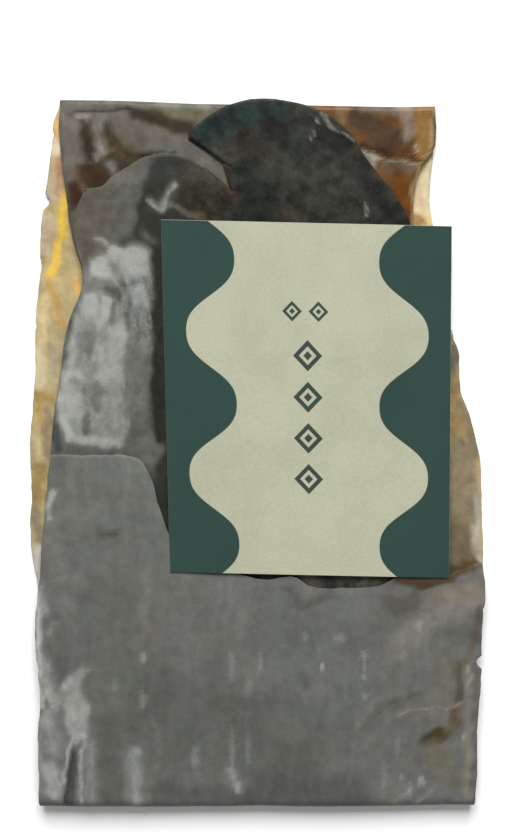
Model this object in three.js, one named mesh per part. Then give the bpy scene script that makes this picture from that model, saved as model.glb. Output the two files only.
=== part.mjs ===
// A dried kelp leaf folded into a flat pack, with a stiff paper label card lying on it.
//
// The leaf is one long, thin, wavy blade. From its lobed base end it runs down the front
// (the front panel), turns under at the bottom, comes up behind (the inner panel), turns
// over at the top, goes down again (the back panel), and at the bottom wraps round the
// whole pack and comes up over the front again (the flap), where it ends in a torn edge.
//
// Units are millimetres and +Z is up. The pack lies on the plane z = 0 with its front up.
// +Y points from the bottom folds to the lobed top, and the origin is under its middle.
import * as THREE from 'three';
import { mergeVertices } from 'three/addons/utils/BufferGeometryUtils.js';

// The blade: thick along its middle, thin at its two margins.
const BLADE_THICKNESS_MIDDLE = 1.25;
const BLADE_THICKNESS_MARGIN = 0.65;

// The panels lie one pitch apart, in this order from the ground up.
const PANEL_PITCH = 3.1;
const BACK_LEVEL = 1.3;
const INNER_LEVEL = BACK_LEVEL + PANEL_PITCH;
const FRONT_LEVEL = INNER_LEVEL + PANEL_PITCH;
const FLAP_LEVEL = FRONT_LEVEL + PANEL_PITCH;

// Where the folds turn: the y of each turn's centre, and how far the turn reaches past it.
// The top fold sags a little along its length, as [x, y] stations.
const TOP_FOLD = [
  [-85, 157.3], [-60, 156.9], [-36, 155.8], [-22, 155.4], [30, 154.7], [60, 154.3], [76, 154.7],
];
const INNER_FOLD_Y = -150;
const WRAP_FOLD_Y = -156.3;
const TIGHT_FOLD_REACH = 1.55;
const WRAP_FOLD_REACH = 5.0;
const FOLD_STEPS = 5;

// The base end: a notch splits it into a low left lobe and a tall round right lobe, whose rims
// settle towards the inner panel.
const NOTCH_X = -11.7;
const NOTCH_Y = 121.5;
const LEFT_LOBE_RISE = [
  [-74.5, 0.2], [-67, 1.4], [-62.5, 5.5], [-56, 9.4], [-48, 13.6], [-40, 14.8], [-33, 13.4], [-22, 8.2],
  [NOTCH_X, 0],
];
const RIGHT_LOBE_OUTLINE = [
  [NOTCH_X, NOTCH_Y], [-14.5, 130], [-19, 138.5], [-30.5, 143.5], [-24, 150.4], [-11, 157.8], [3, 159.8],
  [17, 157.6], [30, 152.6], [41.5, 142], [48.5, 131.5], [57.2, NOTCH_Y],
];
const LOBE_ROWS = 4;
const LOBE_SETTLE = 1.0;
const LOBE_BLEND = 10;
// The corner of the right lobe that leans over the notch droops to the inner panel.
const CORNER_DROOP = { x: -25, y: 140, reach: 20, depth: 0.8 };

// The torn end of the flap: high on the left, round at the corner, low on the right. It
// settles down towards the front panel.
const FLAP_END = [
  [-91, 5.5], [-70, 5], [-53, 3.6], [-46, -5], [-42, -17], [-34, -34], [-8, -48.5], [8, -52.4],
  [18, -50.6], [26, -55.4], [50, -56.2], [58, -54.2], [63, -50.8], [84, -50.4], [92, -47.4], [100.5, -44],
];
const FLAP_EVEN_Y = -64;
const FLAP_EVEN_ROWS = 9;
const FLAP_END_ROWS = 6;
const FLAP_SETTLE = 1.0;
const FLAP_SETTLE_REACH = 16;

// Each panel's two side margins, as [y, x] stations that a smooth curve runs through.
const MARGINS = {
  front: {
    left: [
      [121.5, -74.5], [116, -76.8], [110, -79.2], [102, -79.5], [82, -76.2], [65, -82], [49, -85.5],
      [26, -89.5], [5, -91.5], [-60, -96], [-150, -97.5],
    ],
    right: [[121.5, 57.2], [108, 65], [50, 77], [0, 80], [-45, 83], [-150, 95]],
  },
  inner: {
    left: [
      [158, -84.2], [147, -85], [127, -84], [100, -80], [78, -76],
      [49, -82], [5, -88.5], [-60, -94.5], [-150, -97.5],
    ],
    right: [
      [158, 75.8], [140, 75.4], [131, 69.6], [122, 67.6], [108, 67.2], [50, 75.5], [0, 79],
      [-45, 82.5], [-150, 94],
    ],
  },
  back: {
    left: [
      [158, -84.6], [150, -87.6], [144, -88.2], [134, -90.4], [120, -92.2], [96, -94.6], [54, -98.1],
      [30, -99.5], [6, -101.2], [-15, -102.1], [-36, -101.9], [-62, -100.4], [-92, -99], [-155, -101],
    ],
    right: [
      [158, 75.8], [142, 75.2], [121, 74.4], [100, 76.8], [73, 81.8], [58, 85.6], [49, 88.5], [40, 88.4],
      [30, 90.6], [22, 94.2], [14, 96.8], [3.5, 98.5], [-17, 100.3], [-36, 101.8], [-60, 101.4], [-155, 99.8],
    ],
  },
  flap: {
    left: [
      [-155, -101], [-128, -99.9], [-105, -99.5], [-66, -99.8], [-40, -96.6], [-9, -93.8], [5.5, -91],
    ],
    right: [[-155, 99.8], [-133, 100.4], [-109, 100.7], [-85, 101.4], [-60, 101.4], [-44, 100.2]],
  },
};
const MARGIN_RIPPLE = 0.35;
const MARGIN_RIPPLE_LENGTH = 47;

// The blade's waves: broad swells that all panels share, and ruffles along each margin.
const SWELLS = [
  { height: 0.8, perX: 1 / 520, perY: 1 / 190, phase: 0.12 },
  { height: 0.42, perX: 1 / 118, perY: 1 / 400, phase: 0.3 },
  { height: 0.3, perX: 1 / 260, perY: 1 / 74, phase: 0.55 },
];
const SWELL_SHARE = { back: 0.35, inner: 0.55, front: 0.75, flap: 0.9 };
const RUFFLE_HEIGHT = { back: 0.45, inner: 0.35, front: 0.35, flap: 0.4 };
const RUFFLE_LENGTH = { back: 52, inner: 61, front: 57, flap: 49 };
const RUFFLE_CROWDING = 6;

// How deep the pack's own weight presses the low spots of its back flat on the ground.
const PRESSED_FLAT = 0.3;

// The plump, mealy stretch of the front panel beside the label.
const PLUMP = { x: -64, y: 66, reachX: 24, reachY: 60, height: 0.9 };

// Columns of the blade's grid, as shares of its width; one of them runs into the notch.
const COLUMNS_LEFT_OF_NOTCH = [0, 0.03, 0.085, 0.15, 0.205, 0.24, 0.265, 0.31, 0.37, 0.435];
const COLUMNS_RIGHT_OF_NOTCH = [0.565, 0.635, 0.71, 0.785, 0.855, 0.92, 0.97, 1];
const ROW_SPACING = 11.5;

// The label: a stiff card, cut a little out of square, that leans from the flap's torn end
// on to the front panel.
const CARD_WIDTH = 125;
const CARD_LENGTH = 156.8;
const CARD_THICKNESS = 0.5;
const CARD_CENTRE = { x: 21.9, y: 28.9, z: 9.5 };
const CARD_LEAN = THREE.MathUtils.degToRad(-0.53);
const CARD_SIDES_LEAN = -0.0158;
const CARD_ENDS_DROP = -0.0222;

// A smooth curve through stations [at, value]: a cubic between neighbours, whose slope at
// each station is that of the line through the two stations beside it.
function smoothThrough(stations) {
  const sorted = [...stations].sort((a, b) => a[0] - b[0]);
  const last = sorted.length - 1;
  const slopeAt = (i) => {
    const before = sorted[Math.max(i - 1, 0)];
    const after = sorted[Math.min(i + 1, last)];
    return (after[1] - before[1]) / (after[0] - before[0]);
  };
  return (at) => {
    const place = THREE.MathUtils.clamp(at, sorted[0][0], sorted[last][0]);
    let i = 0;
    while (i < last - 1 && place > sorted[i + 1][0]) i += 1;
    const span = sorted[i + 1][0] - sorted[i][0];
    const t = (place - sorted[i][0]) / span;
    const start = (2 * t ** 3 - 3 * t ** 2 + 1) * sorted[i][1];
    const startSlope = (t ** 3 - 2 * t ** 2 + t) * span * slopeAt(i);
    const end = (3 * t ** 2 - 2 * t ** 3) * sorted[i + 1][1];
    const endSlope = (t ** 3 - t ** 2) * span * slopeAt(i + 1);
    return start + startSlope + end + endSlope;
  };
}

const wave = (turns) => Math.sin(2 * Math.PI * turns);

const marginCurves = Object.fromEntries(
  Object.entries(MARGINS).map(([panel, sides]) => [
    panel,
    { left: smoothThrough(sides.left), right: smoothThrough(sides.right) },
  ]),
);

const notchShare = (() => {
  const left = marginCurves.front.left(NOTCH_Y);
  const right = marginCurves.front.right(NOTCH_Y);
  return (NOTCH_X - left) / (right - left);
})();
const notchColumn = COLUMNS_LEFT_OF_NOTCH.length;
const columns = [...COLUMNS_LEFT_OF_NOTCH, notchShare, ...COLUMNS_RIGHT_OF_NOTCH];

// How far out a column lies: 0 along the middle of the blade, 1 at either margin.
const outwardness = (share) => Math.abs(2 * share - 1);

function halfThickness(share) {
  const thinning = outwardness(share) ** 3;
  return 0.5 * THREE.MathUtils.lerp(BLADE_THICKNESS_MIDDLE, BLADE_THICKNESS_MARGIN, thinning);
}

// Across a panel: x at this share of the width, between the two margins at this y.
function acrossPanel(panel, share, y) {
  const left = marginCurves[panel].left(y) - MARGIN_RIPPLE * wave(y / MARGIN_RIPPLE_LENGTH);
  const right = marginCurves[panel].right(y) + MARGIN_RIPPLE * wave(y / MARGIN_RIPPLE_LENGTH + 0.4);
  return THREE.MathUtils.lerp(left, right, share);
}

const swell = (x, y) => SWELLS.reduce(
  (sum, { height, perX, perY, phase }) => sum + height * wave(x * perX + y * perY + phase),
  0,
);

// The plump stretch: a smooth mound that falls to nothing at its reach.
function plumpness(x, y) {
  const away = ((x - PLUMP.x) / PLUMP.reachX) ** 2 + ((y - PLUMP.y) / PLUMP.reachY) ** 2;
  return PLUMP.height * Math.max(0, 1 - away) ** 2;
}

const PANEL_LEVEL = { back: BACK_LEVEL, inner: INNER_LEVEL, front: FRONT_LEVEL, flap: FLAP_LEVEL };

// Height of a panel's middle surface: its level, its share of the swells and its ruffles.
function panelHeight(panel, share, x, y) {
  const ruffle = RUFFLE_HEIGHT[panel] * outwardness(share) ** RUFFLE_CROWDING;
  const side = share < 0.5 ? 0 : 0.37;
  const mound = panel === 'front' ? plumpness(x, y) : 0;
  return (
    PANEL_LEVEL[panel]
    + SWELL_SHARE[panel] * swell(x, y)
    + ruffle * wave(y / RUFFLE_LENGTH[panel] + side)
    + mound
  );
}

function panelPoint(panel, share, y) {
  const x = acrossPanel(panel, share, y);
  return { x, y, z: panelHeight(panel, share, x, y), half: halfThickness(share) };
}

// One row of points straight across a panel; y may change with the share of the width.
const panelRow = (panel, yAt) => columns.map((share) => panelPoint(panel, share, yAt(share)));

// Rows of a panel from one line across it to another, the first left out.
function panelRows(panel, fromY, toY, count) {
  return Array.from({ length: count }, (_, i) => {
    const along = (i + 1) / count;
    return panelRow(panel, (share) => THREE.MathUtils.lerp(fromY(share), toY(share), along));
  });
}

// Rows round a fold: half an ellipse from the row that ends one panel to the row that
// starts the next, standing out by the fold's reach, both end rows left out.
function foldRows(fromRow, toRow, reach) {
  return Array.from({ length: FOLD_STEPS - 1 }, (_, i) => {
    const angle = (Math.PI * (i + 1)) / FOLD_STEPS;
    const over = (1 - Math.cos(angle)) / 2;
    return fromRow.map((from, column) => {
      const to = toRow[column];
      return {
        x: THREE.MathUtils.lerp(from.x, to.x, over),
        y: THREE.MathUtils.lerp(from.y, to.y, over) + reach * Math.sin(angle),
        z: THREE.MathUtils.lerp(from.z, to.z, over),
        half: from.half,
      };
    });
  });
}

// The whole blade below the notch as one list of rows, from the base end to the torn end.
function bladeRows() {
  const notchLine = () => NOTCH_Y;
  const innerFold = () => INNER_FOLD_Y;
  const foldCurve = smoothThrough(TOP_FOLD);
  const topFold = (share) => foldCurve(THREE.MathUtils.lerp(TOP_FOLD[0][0], TOP_FOLD.at(-1)[0], share));
  const wrapFold = () => WRAP_FOLD_Y;
  const evenLine = () => FLAP_EVEN_Y;
  const endCurve = smoothThrough(FLAP_END);
  const tornEnd = (share) => endCurve(THREE.MathUtils.lerp(FLAP_END[0][0], FLAP_END.at(-1)[0], share));
  const rowsBetween = (a, b) => Math.round(Math.abs(a - b) / ROW_SPACING);
  const settled = (point, share) => {
    const end = tornEnd(share);
    const nearness = THREE.MathUtils.smoothstep(point.y, end - FLAP_SETTLE_REACH, end);
    return { ...point, z: point.z - FLAP_SETTLE * nearness };
  };

  const front = panelRows('front', notchLine, innerFold, rowsBetween(NOTCH_Y, INNER_FOLD_Y));
  const innerStart = panelRow('inner', innerFold);
  const inner = panelRows('inner', innerFold, topFold, rowsBetween(INNER_FOLD_Y, TOP_FOLD[0][1]));
  const backStart = panelRow('back', topFold);
  const back = panelRows('back', topFold, wrapFold, rowsBetween(TOP_FOLD[0][1], WRAP_FOLD_Y));
  const flapStart = panelRow('flap', wrapFold);
  const flapEnd = panelRows('flap', evenLine, tornEnd, FLAP_END_ROWS);
  return [
    panelRow('front', notchLine),
    ...front,
    ...foldRows(front.at(-1), innerStart, -TIGHT_FOLD_REACH),
    innerStart,
    ...inner,
    ...foldRows(inner.at(-1), backStart, TIGHT_FOLD_REACH),
    backStart,
    ...back,
    ...foldRows(back.at(-1), flapStart, -WRAP_FOLD_REACH),
    flapStart,
    ...panelRows('flap', wrapFold, evenLine, FLAP_EVEN_ROWS),
    ...flapEnd.map((row) => row.map((point, column) => settled(point, columns[column]))),
  ];
}

// A point of a lobe: `along` runs from the notch line, 0, to the lobe's rim, 1, which settles
// down towards the inner panel. The root's own height fades out within LOBE_BLEND of it.
function lobePoint(root, rimX, rimY, along) {
  const x = THREE.MathUtils.lerp(root.x, rimX, along);
  const y = THREE.MathUtils.lerp(root.y, rimY, along);
  const free = FRONT_LEVEL + SWELL_SHARE.front * swell(x, y) - LOBE_SETTLE * Math.sin((along * Math.PI) / 2);
  const away = Math.hypot(x - root.x, y - root.y);
  const z = THREE.MathUtils.lerp(root.z, free, THREE.MathUtils.smoothstep(away, 0, LOBE_BLEND));
  return { x, y, z, half: THREE.MathUtils.lerp(root.half, halfThickness(0), along ** 2) };
}

// Rows from the lobe's rim down to the notch line, over one side's columns of the blade.
function lobeRows(roots, rimOf) {
  return Array.from({ length: LOBE_ROWS + 1 }, (_, i) => {
    const along = 1 - i / LOBE_ROWS;
    return roots.map((root, column) => {
      const rim = rimOf(root, column / (roots.length - 1));
      return lobePoint(root, rim.x, rim.y, along);
    });
  });
}

// The left lobe rises straight up from the notch line by its own rise curve.
function leftLobe(notchRow) {
  const rise = smoothThrough(LEFT_LOBE_RISE);
  const rimOf = (root) => ({ x: root.x, y: NOTCH_Y + Math.max(0, rise(root.x)) });
  return lobeRows(notchRow.slice(0, notchColumn + 1), rimOf);
}

// The right lobe fans out from the notch line to a round rim that leans over the notch.
function rightLobe(notchRow) {
  const rim = new THREE.SplineCurve(RIGHT_LOBE_OUTLINE.map(([x, y]) => new THREE.Vector2(x, y)));
  const rimOf = (_, share) => rim.getPointAt(share);
  const drooped = (point) => {
    const away = Math.hypot(point.x - CORNER_DROOP.x, point.y - CORNER_DROOP.y);
    const nearness = 1 - THREE.MathUtils.smoothstep(away, 0, CORNER_DROOP.reach);
    return { ...point, z: point.z - CORNER_DROOP.depth * nearness };
  };
  return lobeRows(notchRow.slice(notchColumn), rimOf).map((row) => row.map(drooped));
}

// Joins patches of rows into one open sheet that shares its vertices, front faces up.
function sheetFrom(patches) {
  const places = [];
  const halves = [];
  for (const rows of patches) {
    for (let i = 0; i + 1 < rows.length; i += 1) {
      for (let j = 0; j + 1 < rows[i].length; j += 1) {
        const [a, b, c, d] = [rows[i][j], rows[i + 1][j], rows[i + 1][j + 1], rows[i][j + 1]];
        for (const corner of [a, b, c, a, c, d]) {
          places.push(corner.x, corner.y, corner.z);
          halves.push(corner.half);
        }
      }
    }
  }
  const loose = new THREE.BufferGeometry();
  loose.setAttribute('position', new THREE.Float32BufferAttribute(places, 3));
  loose.setAttribute('half', new THREE.Float32BufferAttribute(halves, 1));
  return mergeVertices(loose, 1e-3);
}

// The sheet's triangles, without those that a lobe's corner squeezes to a line.
function trianglesOf(sheet) {
  const index = Array.from(sheet.index.array);
  const triangles = [];
  for (let i = 0; i < index.length; i += 3) {
    const [a, b, c] = index.slice(i, i + 3);
    if (a !== b && b !== c && c !== a) triangles.push([a, b, c]);
  }
  return triangles;
}

// Edges that only one triangle has, in that triangle's direction.
function rimEdges(triangles) {
  const edges = new Map();
  for (const [a, b, c] of triangles) {
    for (const [from, to] of [[a, b], [b, c], [c, a]]) edges.set(`${from}_${to}`, [from, to]);
  }
  return [...edges.values()].filter(([from, to]) => !edges.has(`${to}_${from}`));
}

// Gives an open sheet its thickness: the same triangles on both faces, and a wall all
// round the rim.
function thicken(sheet) {
  const triangles = trianglesOf(sheet);
  sheet.setIndex(triangles.flat());
  sheet.computeVertexNormals();
  const { position, normal, half } = sheet.attributes;
  const count = position.count;
  const corners = new Float32Array(6 * count);
  for (let i = 0; i < count; i += 1) {
    const middle = new THREE.Vector3().fromBufferAttribute(position, i);
    const out = new THREE.Vector3().fromBufferAttribute(normal, i).multiplyScalar(half.getX(i));
    middle.clone().add(out).toArray(corners, 3 * i);
    middle.clone().sub(out).toArray(corners, 3 * (count + i));
  }
  const upper = triangles;
  const lower = triangles.map(([a, b, c]) => [count + a, count + c, count + b]);
  const walls = rimEdges(triangles).flatMap(([a, b]) => [
    [count + a, count + b, b],
    [count + a, b, a],
  ]);
  const solid = new THREE.BufferGeometry();
  solid.setAttribute('position', new THREE.Float32BufferAttribute(corners, 3));
  solid.setIndex([...upper, ...lower, ...walls].flat());
  return solid;
}

// Sets a solid down on z = 0 and flattens what would sink below it.
function setDown(geometry) {
  geometry.computeBoundingBox();
  geometry.translate(0, 0, -geometry.boundingBox.min.z - PRESSED_FLAT);
  const { position } = geometry.attributes;
  for (let i = 0; i < position.count; i += 1) position.setZ(i, Math.max(0, position.getZ(i)));
}

function kelpLeaf() {
  const rows = bladeRows();
  const geometry = thicken(sheetFrom([leftLobe(rows[0]), rightLobe(rows[0]), rows]));
  setDown(geometry);
  const material = new THREE.MeshStandardMaterial({ color: 0x5f5d53, roughness: 0.6, metalness: 0 });
  const leaf = new THREE.Mesh(geometry, material);
  leaf.name = 'kelp_leaf';
  return leaf;
}

function labelCard() {
  const geometry = new THREE.BoxGeometry(CARD_WIDTH, CARD_LENGTH, CARD_THICKNESS);
  geometry.applyMatrix4(new THREE.Matrix4().makeShear(CARD_ENDS_DROP, 0, CARD_SIDES_LEAN, 0, 0, 0));
  const material = new THREE.MeshStandardMaterial({ color: 0xbcbfa6, roughness: 0.8, metalness: 0 });
  const card = new THREE.Mesh(geometry, material);
  card.name = 'label_card';
  card.position.set(CARD_CENTRE.x, CARD_CENTRE.y, CARD_CENTRE.z);
  card.rotation.x = CARD_LEAN;
  return card;
}

const group = new THREE.Group();
group.name = 'folded_kelp_pack';
group.add(kelpLeaf(), labelCard());

export default group;
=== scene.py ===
# A dried kelp leaf folded into a flat pack, with the stiff paper card that lies on it.
#
# The script follows the pack as it is put together: the leaf, from its lobed base end through
# its three folds to its torn end, then the card laid on it, then the table and the light.
# Shapes are worked out in millimetres, on the same formulas as the solids, and go into the
# meshes in metres. +Z is up, out of the pack's front, and +Y runs towards the lobed top.
import math

import bpy
import numpy as np
from mathutils import Matrix, Vector


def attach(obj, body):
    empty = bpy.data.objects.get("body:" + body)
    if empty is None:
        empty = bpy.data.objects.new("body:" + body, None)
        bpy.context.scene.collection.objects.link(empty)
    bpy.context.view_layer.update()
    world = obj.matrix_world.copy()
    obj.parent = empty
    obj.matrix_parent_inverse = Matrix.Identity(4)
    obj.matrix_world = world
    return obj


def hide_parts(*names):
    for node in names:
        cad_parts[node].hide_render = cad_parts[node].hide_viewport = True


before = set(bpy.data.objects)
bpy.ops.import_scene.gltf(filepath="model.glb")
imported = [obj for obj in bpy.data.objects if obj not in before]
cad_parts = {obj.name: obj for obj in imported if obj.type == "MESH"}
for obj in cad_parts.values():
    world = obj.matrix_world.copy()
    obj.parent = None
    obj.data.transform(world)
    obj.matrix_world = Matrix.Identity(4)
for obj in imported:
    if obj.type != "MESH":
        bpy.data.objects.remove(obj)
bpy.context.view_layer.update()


# ---- The leaf: its shape -------------------------------------------------------------------
# One long blade of dried kelp, a millimetre thick and thinner at its two margins. It is grown
# and dried in one piece, softened, folded flat at three places and pressed, and never cut or
# joined. It starts at a lobed base end on the front and ends in a torn edge on the front too.
MM = 0.001

BLADE_THICKNESS_MIDDLE = 1.25
BLADE_THICKNESS_MARGIN = 0.65

FRONT, INNER, BACK, FLAP = range(4)
BACK_LEVEL = 1.3
PANEL_PITCH = 3.1
LEVEL = {panel: BACK_LEVEL + PANEL_PITCH * place for place, panel in enumerate((BACK, INNER, FRONT, FLAP))}

TOP_FOLD = [(-85, 157.3), (-60, 156.9), (-36, 155.8), (-22, 155.4), (30, 154.7), (60, 154.3), (76, 154.7)]
INNER_FOLD_Y = -150
WRAP_FOLD_Y = -156.3
TIGHT_FOLD_REACH = 1.55
WRAP_FOLD_REACH = 5.0
FOLD_UNEVENNESS = ((0.09, 19.0),)
PRESSED_FLAT = 0.3

NOTCH = (-11.7, 121.5)
LEFT_LOBE_RISE = [
    (-74.5, 0.2), (-67, 1.4), (-62.5, 5.5), (-56, 9.4), (-48, 13.6), (-40, 14.8), (-33, 13.4), (-22, 8.2),
    (NOTCH[0], 0),
]
RIGHT_LOBE_OUTLINE = [
    NOTCH, (-14.5, 130), (-19, 138.5), (-30.5, 143.5), (-24, 150.4), (-11, 157.8), (3, 159.8), (17, 157.6),
    (30, 152.6), (41.5, 142), (48.5, 131.5), (57.2, NOTCH[1]),
]
LOBE_SETTLE = 1.0
LOBE_BLEND = 10
LEFT_RAGGED = ((0.5, 6.0),)
LEFT_RAGGED_FROM = 3
RIGHT_RAGGED = ((0.4, 6.0),)
RIGHT_RAGGED_FROM = 4
CORNER_DROOP = 0.8
CORNER_PLACE = (-25, 140)
CORNER_REACH = 20

FLAP_END = [
    (-91, 5.5), (-70, 5), (-53, 3.6), (-46, -5), (-42, -17), (-34, -34), (-8, -48.5), (8, -52.4),
    (18, -50.6), (26, -55.4), (50, -56.2), (58, -54.2), (63, -50.8), (84, -50.4), (92, -47.4), (100.5, -44),
]
FLAP_EVEN_Y = -64
FLAP_SETTLE = 1.0
FLAP_SETTLE_REACH = 16
FEATHERED = 0.4
FEATHER_REACH = 4
TORN_RAGGED = ((0.45, 7.0), (0.3, 2.2))

# Each panel's margins, left then right, as (y, x) stations.
MARGINS = {
    FRONT: (
        [(121.5, -74.5), (116, -76.8), (110, -79.2), (102, -79.5), (82, -76.2), (65, -82), (49, -85.5),
         (26, -89.5), (5, -91.5), (-60, -96), (-150, -97.5)],
        [(121.5, 57.2), (108, 65), (50, 77), (0, 80), (-45, 83), (-150, 95)],
    ),
    INNER: (
        [(158, -84.2), (147, -85), (127, -84), (100, -80), (78, -76), (49, -82), (5, -88.5), (-60, -94.5),
         (-150, -97.5)],
        [(158, 75.8), (140, 75.4), (131, 69.6), (122, 67.6), (108, 67.2), (50, 75.5), (0, 79), (-45, 82.5),
         (-150, 94)],
    ),
    BACK: (
        [(158, -84.6), (150, -87.6), (144, -88.2), (134, -90.4), (120, -92.2), (96, -94.6), (54, -98.1),
         (30, -99.5), (6, -101.2), (-15, -102.1), (-36, -101.9), (-62, -100.4), (-92, -99), (-155, -101)],
        [(158, 75.8), (142, 75.2), (121, 74.4), (100, 76.8), (73, 81.8), (58, 85.6), (49, 88.5), (40, 88.4),
         (30, 90.6), (22, 94.2), (14, 96.8), (3.5, 98.5), (-17, 100.3), (-36, 101.8), (-60, 101.4),
         (-155, 99.8)],
    ),
    FLAP: (
        [(-155, -101), (-128, -99.9), (-105, -99.5), (-66, -99.8), (-40, -96.6), (-9, -93.8), (5.5, -91)],
        [(-155, 99.8), (-133, 100.4), (-109, 100.7), (-85, 101.4), (-60, 101.4), (-44, 100.2)],
    ),
}
MARGIN_RIPPLE = 0.35
MARGIN_RIPPLE_LENGTH = 47
MARGIN_RIPPLE_SHIFT = 0.4
FRAY = {FRONT: 0.35, INNER: 0.3, BACK: 0.6, FLAP: 0.5}
FRAY_LAYERS = ((0.6, 8.0), (0.4, 2.9))

# Nicks broken out of the margins: panel, side (0 left, 1 right), y, depth, half height.
NICKS = [
    (BACK, 0, 116.0, 2.8, 2.6), (BACK, 0, 144.0, 0.9, 1.8), (BACK, 0, 62.0, 0.6, 2.2),
    (BACK, 1, -91.0, 2.2, 3.0), (FLAP, 1, -91.0, 2.6, 2.8), (FLAP, 1, -66.0, 0.6, 1.6),
    (FLAP, 0, -93.0, 0.8, 3.0), (BACK, 1, 56.0, 0.9, 1.6),
]

SWELLS = [(0.8, 1 / 520, 1 / 190, 0.12), (0.42, 1 / 118, 1 / 400, 0.3), (0.3, 1 / 260, 1 / 74, 0.55)]
SWELL_SHARE = {BACK: 0.35, INNER: 0.55, FRONT: 0.75, FLAP: 0.9}
RUFFLE_HEIGHT = {BACK: 0.45, INNER: 0.35, FRONT: 0.35, FLAP: 0.4}
RUFFLE_LENGTH = {BACK: 52, INNER: 61, FRONT: 57, FLAP: 49}
RUFFLE_CROWDING = 6
RUFFLE_SHIFT = 0.37
FRILL_HEIGHT = 0.35
FRILL_LENGTH = 17.0
FRILL_DRIFT = 23.0
CRINKLE = ((0.17, 14.0), (0.08, 5.5))

# Where the blade is crumpled into facets: x, y, reach along x, reach along y, height.
CRUMPLES = {
    INNER: [(-56, 146, 34, 14, 0.9), (62, 142, 16, 17, 0.8)],
    BACK: [(-88, 128, 9, 34, 0.5), (-96, 40, 8, 50, 0.4), (92, 10, 10, 50, 0.4)],
    FLAP: [(84, -120, 22, 34, 0.45), (-86, -128, 18, 34, 0.4)],
}
CRUMPLE_SIZE = 13.0
CRUMPLE_SINK = 0.6
CRUMPLE_FADE = 1.4
PLUMP_PLACE = (-64, 66)
PLUMP_REACH = (24, 60)
PLUMP_HEIGHT = 0.9


def lerp(a, b, share):
    """a where share is 0 and b where it is 1, in a straight line between."""
    return a + (b - a) * share


def ease(t):
    """0 below 0 and 1 above 1, with 3t^2 - 2t^3 between."""
    t = np.clip(t, 0, 1)
    return t * t * (3 - 2 * t)


def wave(turns):
    """The sine of a number of whole turns."""
    return np.sin(2 * np.pi * turns)


def smooth_through(stations, at):
    """A smooth curve through (place, value) stations, read at `at`: between two stations it is
    the cubic whose slope at each is that of the line through the stations beside it."""
    place, value = np.array(sorted(stations), float).T
    last = len(place) - 1
    before = np.maximum(np.arange(last + 1) - 1, 0)
    after = np.minimum(np.arange(last + 1) + 1, last)
    slope = (value[after] - value[before]) / (place[after] - place[before])
    at = np.clip(at, place[0], place[-1])
    i = np.clip(np.searchsorted(place, at, side="right") - 1, 0, last - 1)
    span = place[i + 1] - place[i]
    t = (at - place[i]) / span
    start = (2 * t**3 - 3 * t**2 + 1) * value[i] + (t**3 - 2 * t**2 + t) * span * slope[i]
    end = (3 * t**2 - 2 * t**3) * value[i + 1] + (t**3 - t**2) * span * slope[i + 1]
    return start + end


LATTICE = 256
LATTICE_TURN = 0.6


def patchy(x, y, size, seed):
    """Smooth unevenness between -1 and 1: a random height at each corner of a turned square
    lattice of that size, blended across each square by 3t^2 - 2t^3."""
    corner = np.random.default_rng(seed).uniform(-1, 1, (LATTICE, LATTICE))
    u = (x * math.cos(LATTICE_TURN) + y * math.sin(LATTICE_TURN)) / size
    v = (y * math.cos(LATTICE_TURN) - x * math.sin(LATTICE_TURN)) / size
    i, j = np.floor(u).astype(int), np.floor(v).astype(int)
    s, t = ease(u - i), ease(v - j)
    near = lerp(corner[i % LATTICE, j % LATTICE], corner[(i + 1) % LATTICE, j % LATTICE], s)
    far = lerp(corner[i % LATTICE, (j + 1) % LATTICE], corner[(i + 1) % LATTICE, (j + 1) % LATTICE], s)
    return lerp(near, far, t)


def layered(x, y, layers, seed, seed_step=1):
    """The sum of several such unevennesses, given as (height, size), each with its own seed."""
    return sum(
        tall * patchy(x, y, size, seed + seed_step * number) for number, (tall, size) in enumerate(layers)
    )


def along_line(places, layers, seed, seed_step=1):
    """The same along a line."""
    return layered(places, 0.5, layers, seed, seed_step)


# Columns of the grid, as shares of the blade's width: close at the two sides that show most,
# wide under the card, and one of them runs into the notch.
notch_left = smooth_through(MARGINS[FRONT][0], NOTCH[1])
notch_right = smooth_through(MARGINS[FRONT][1], NOTCH[1])
notch_share = (NOTCH[0] - notch_left) / (notch_right - notch_left)
CLOSE_LEFT, CLOSE_RIGHT = 0.3, 0.83
columns = np.concatenate([
    np.linspace(0, CLOSE_LEFT, 46, endpoint=False),
    np.linspace(CLOSE_LEFT, notch_share, 17, endpoint=False),
    np.linspace(notch_share, CLOSE_RIGHT, 28, endpoint=False),
    np.linspace(CLOSE_RIGHT, 1, 18),
])
notch_column = int(np.searchsorted(columns, notch_share))


def margin(panel, side, y):
    """x of one margin at y: its smooth curve, a slow ripple, a fine fray, and the nicks, each
    a parabola cut in from the edge."""
    outward = (-1, 1)[side]
    x = smooth_through(MARGINS[panel][side], y)
    x = x + outward * MARGIN_RIPPLE * wave(y / MARGIN_RIPPLE_LENGTH + MARGIN_RIPPLE_SHIFT * side)
    x = x + FRAY[panel] * along_line(y, FRAY_LAYERS, 10 * panel + side, 5)
    for nick_panel, nick_side, nick_y, depth, half_height in NICKS:
        if (nick_panel, nick_side) == (panel, side):
            x = x - outward * depth * np.maximum(0, 1 - ((y - nick_y) / half_height) ** 2)
    return x


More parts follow.
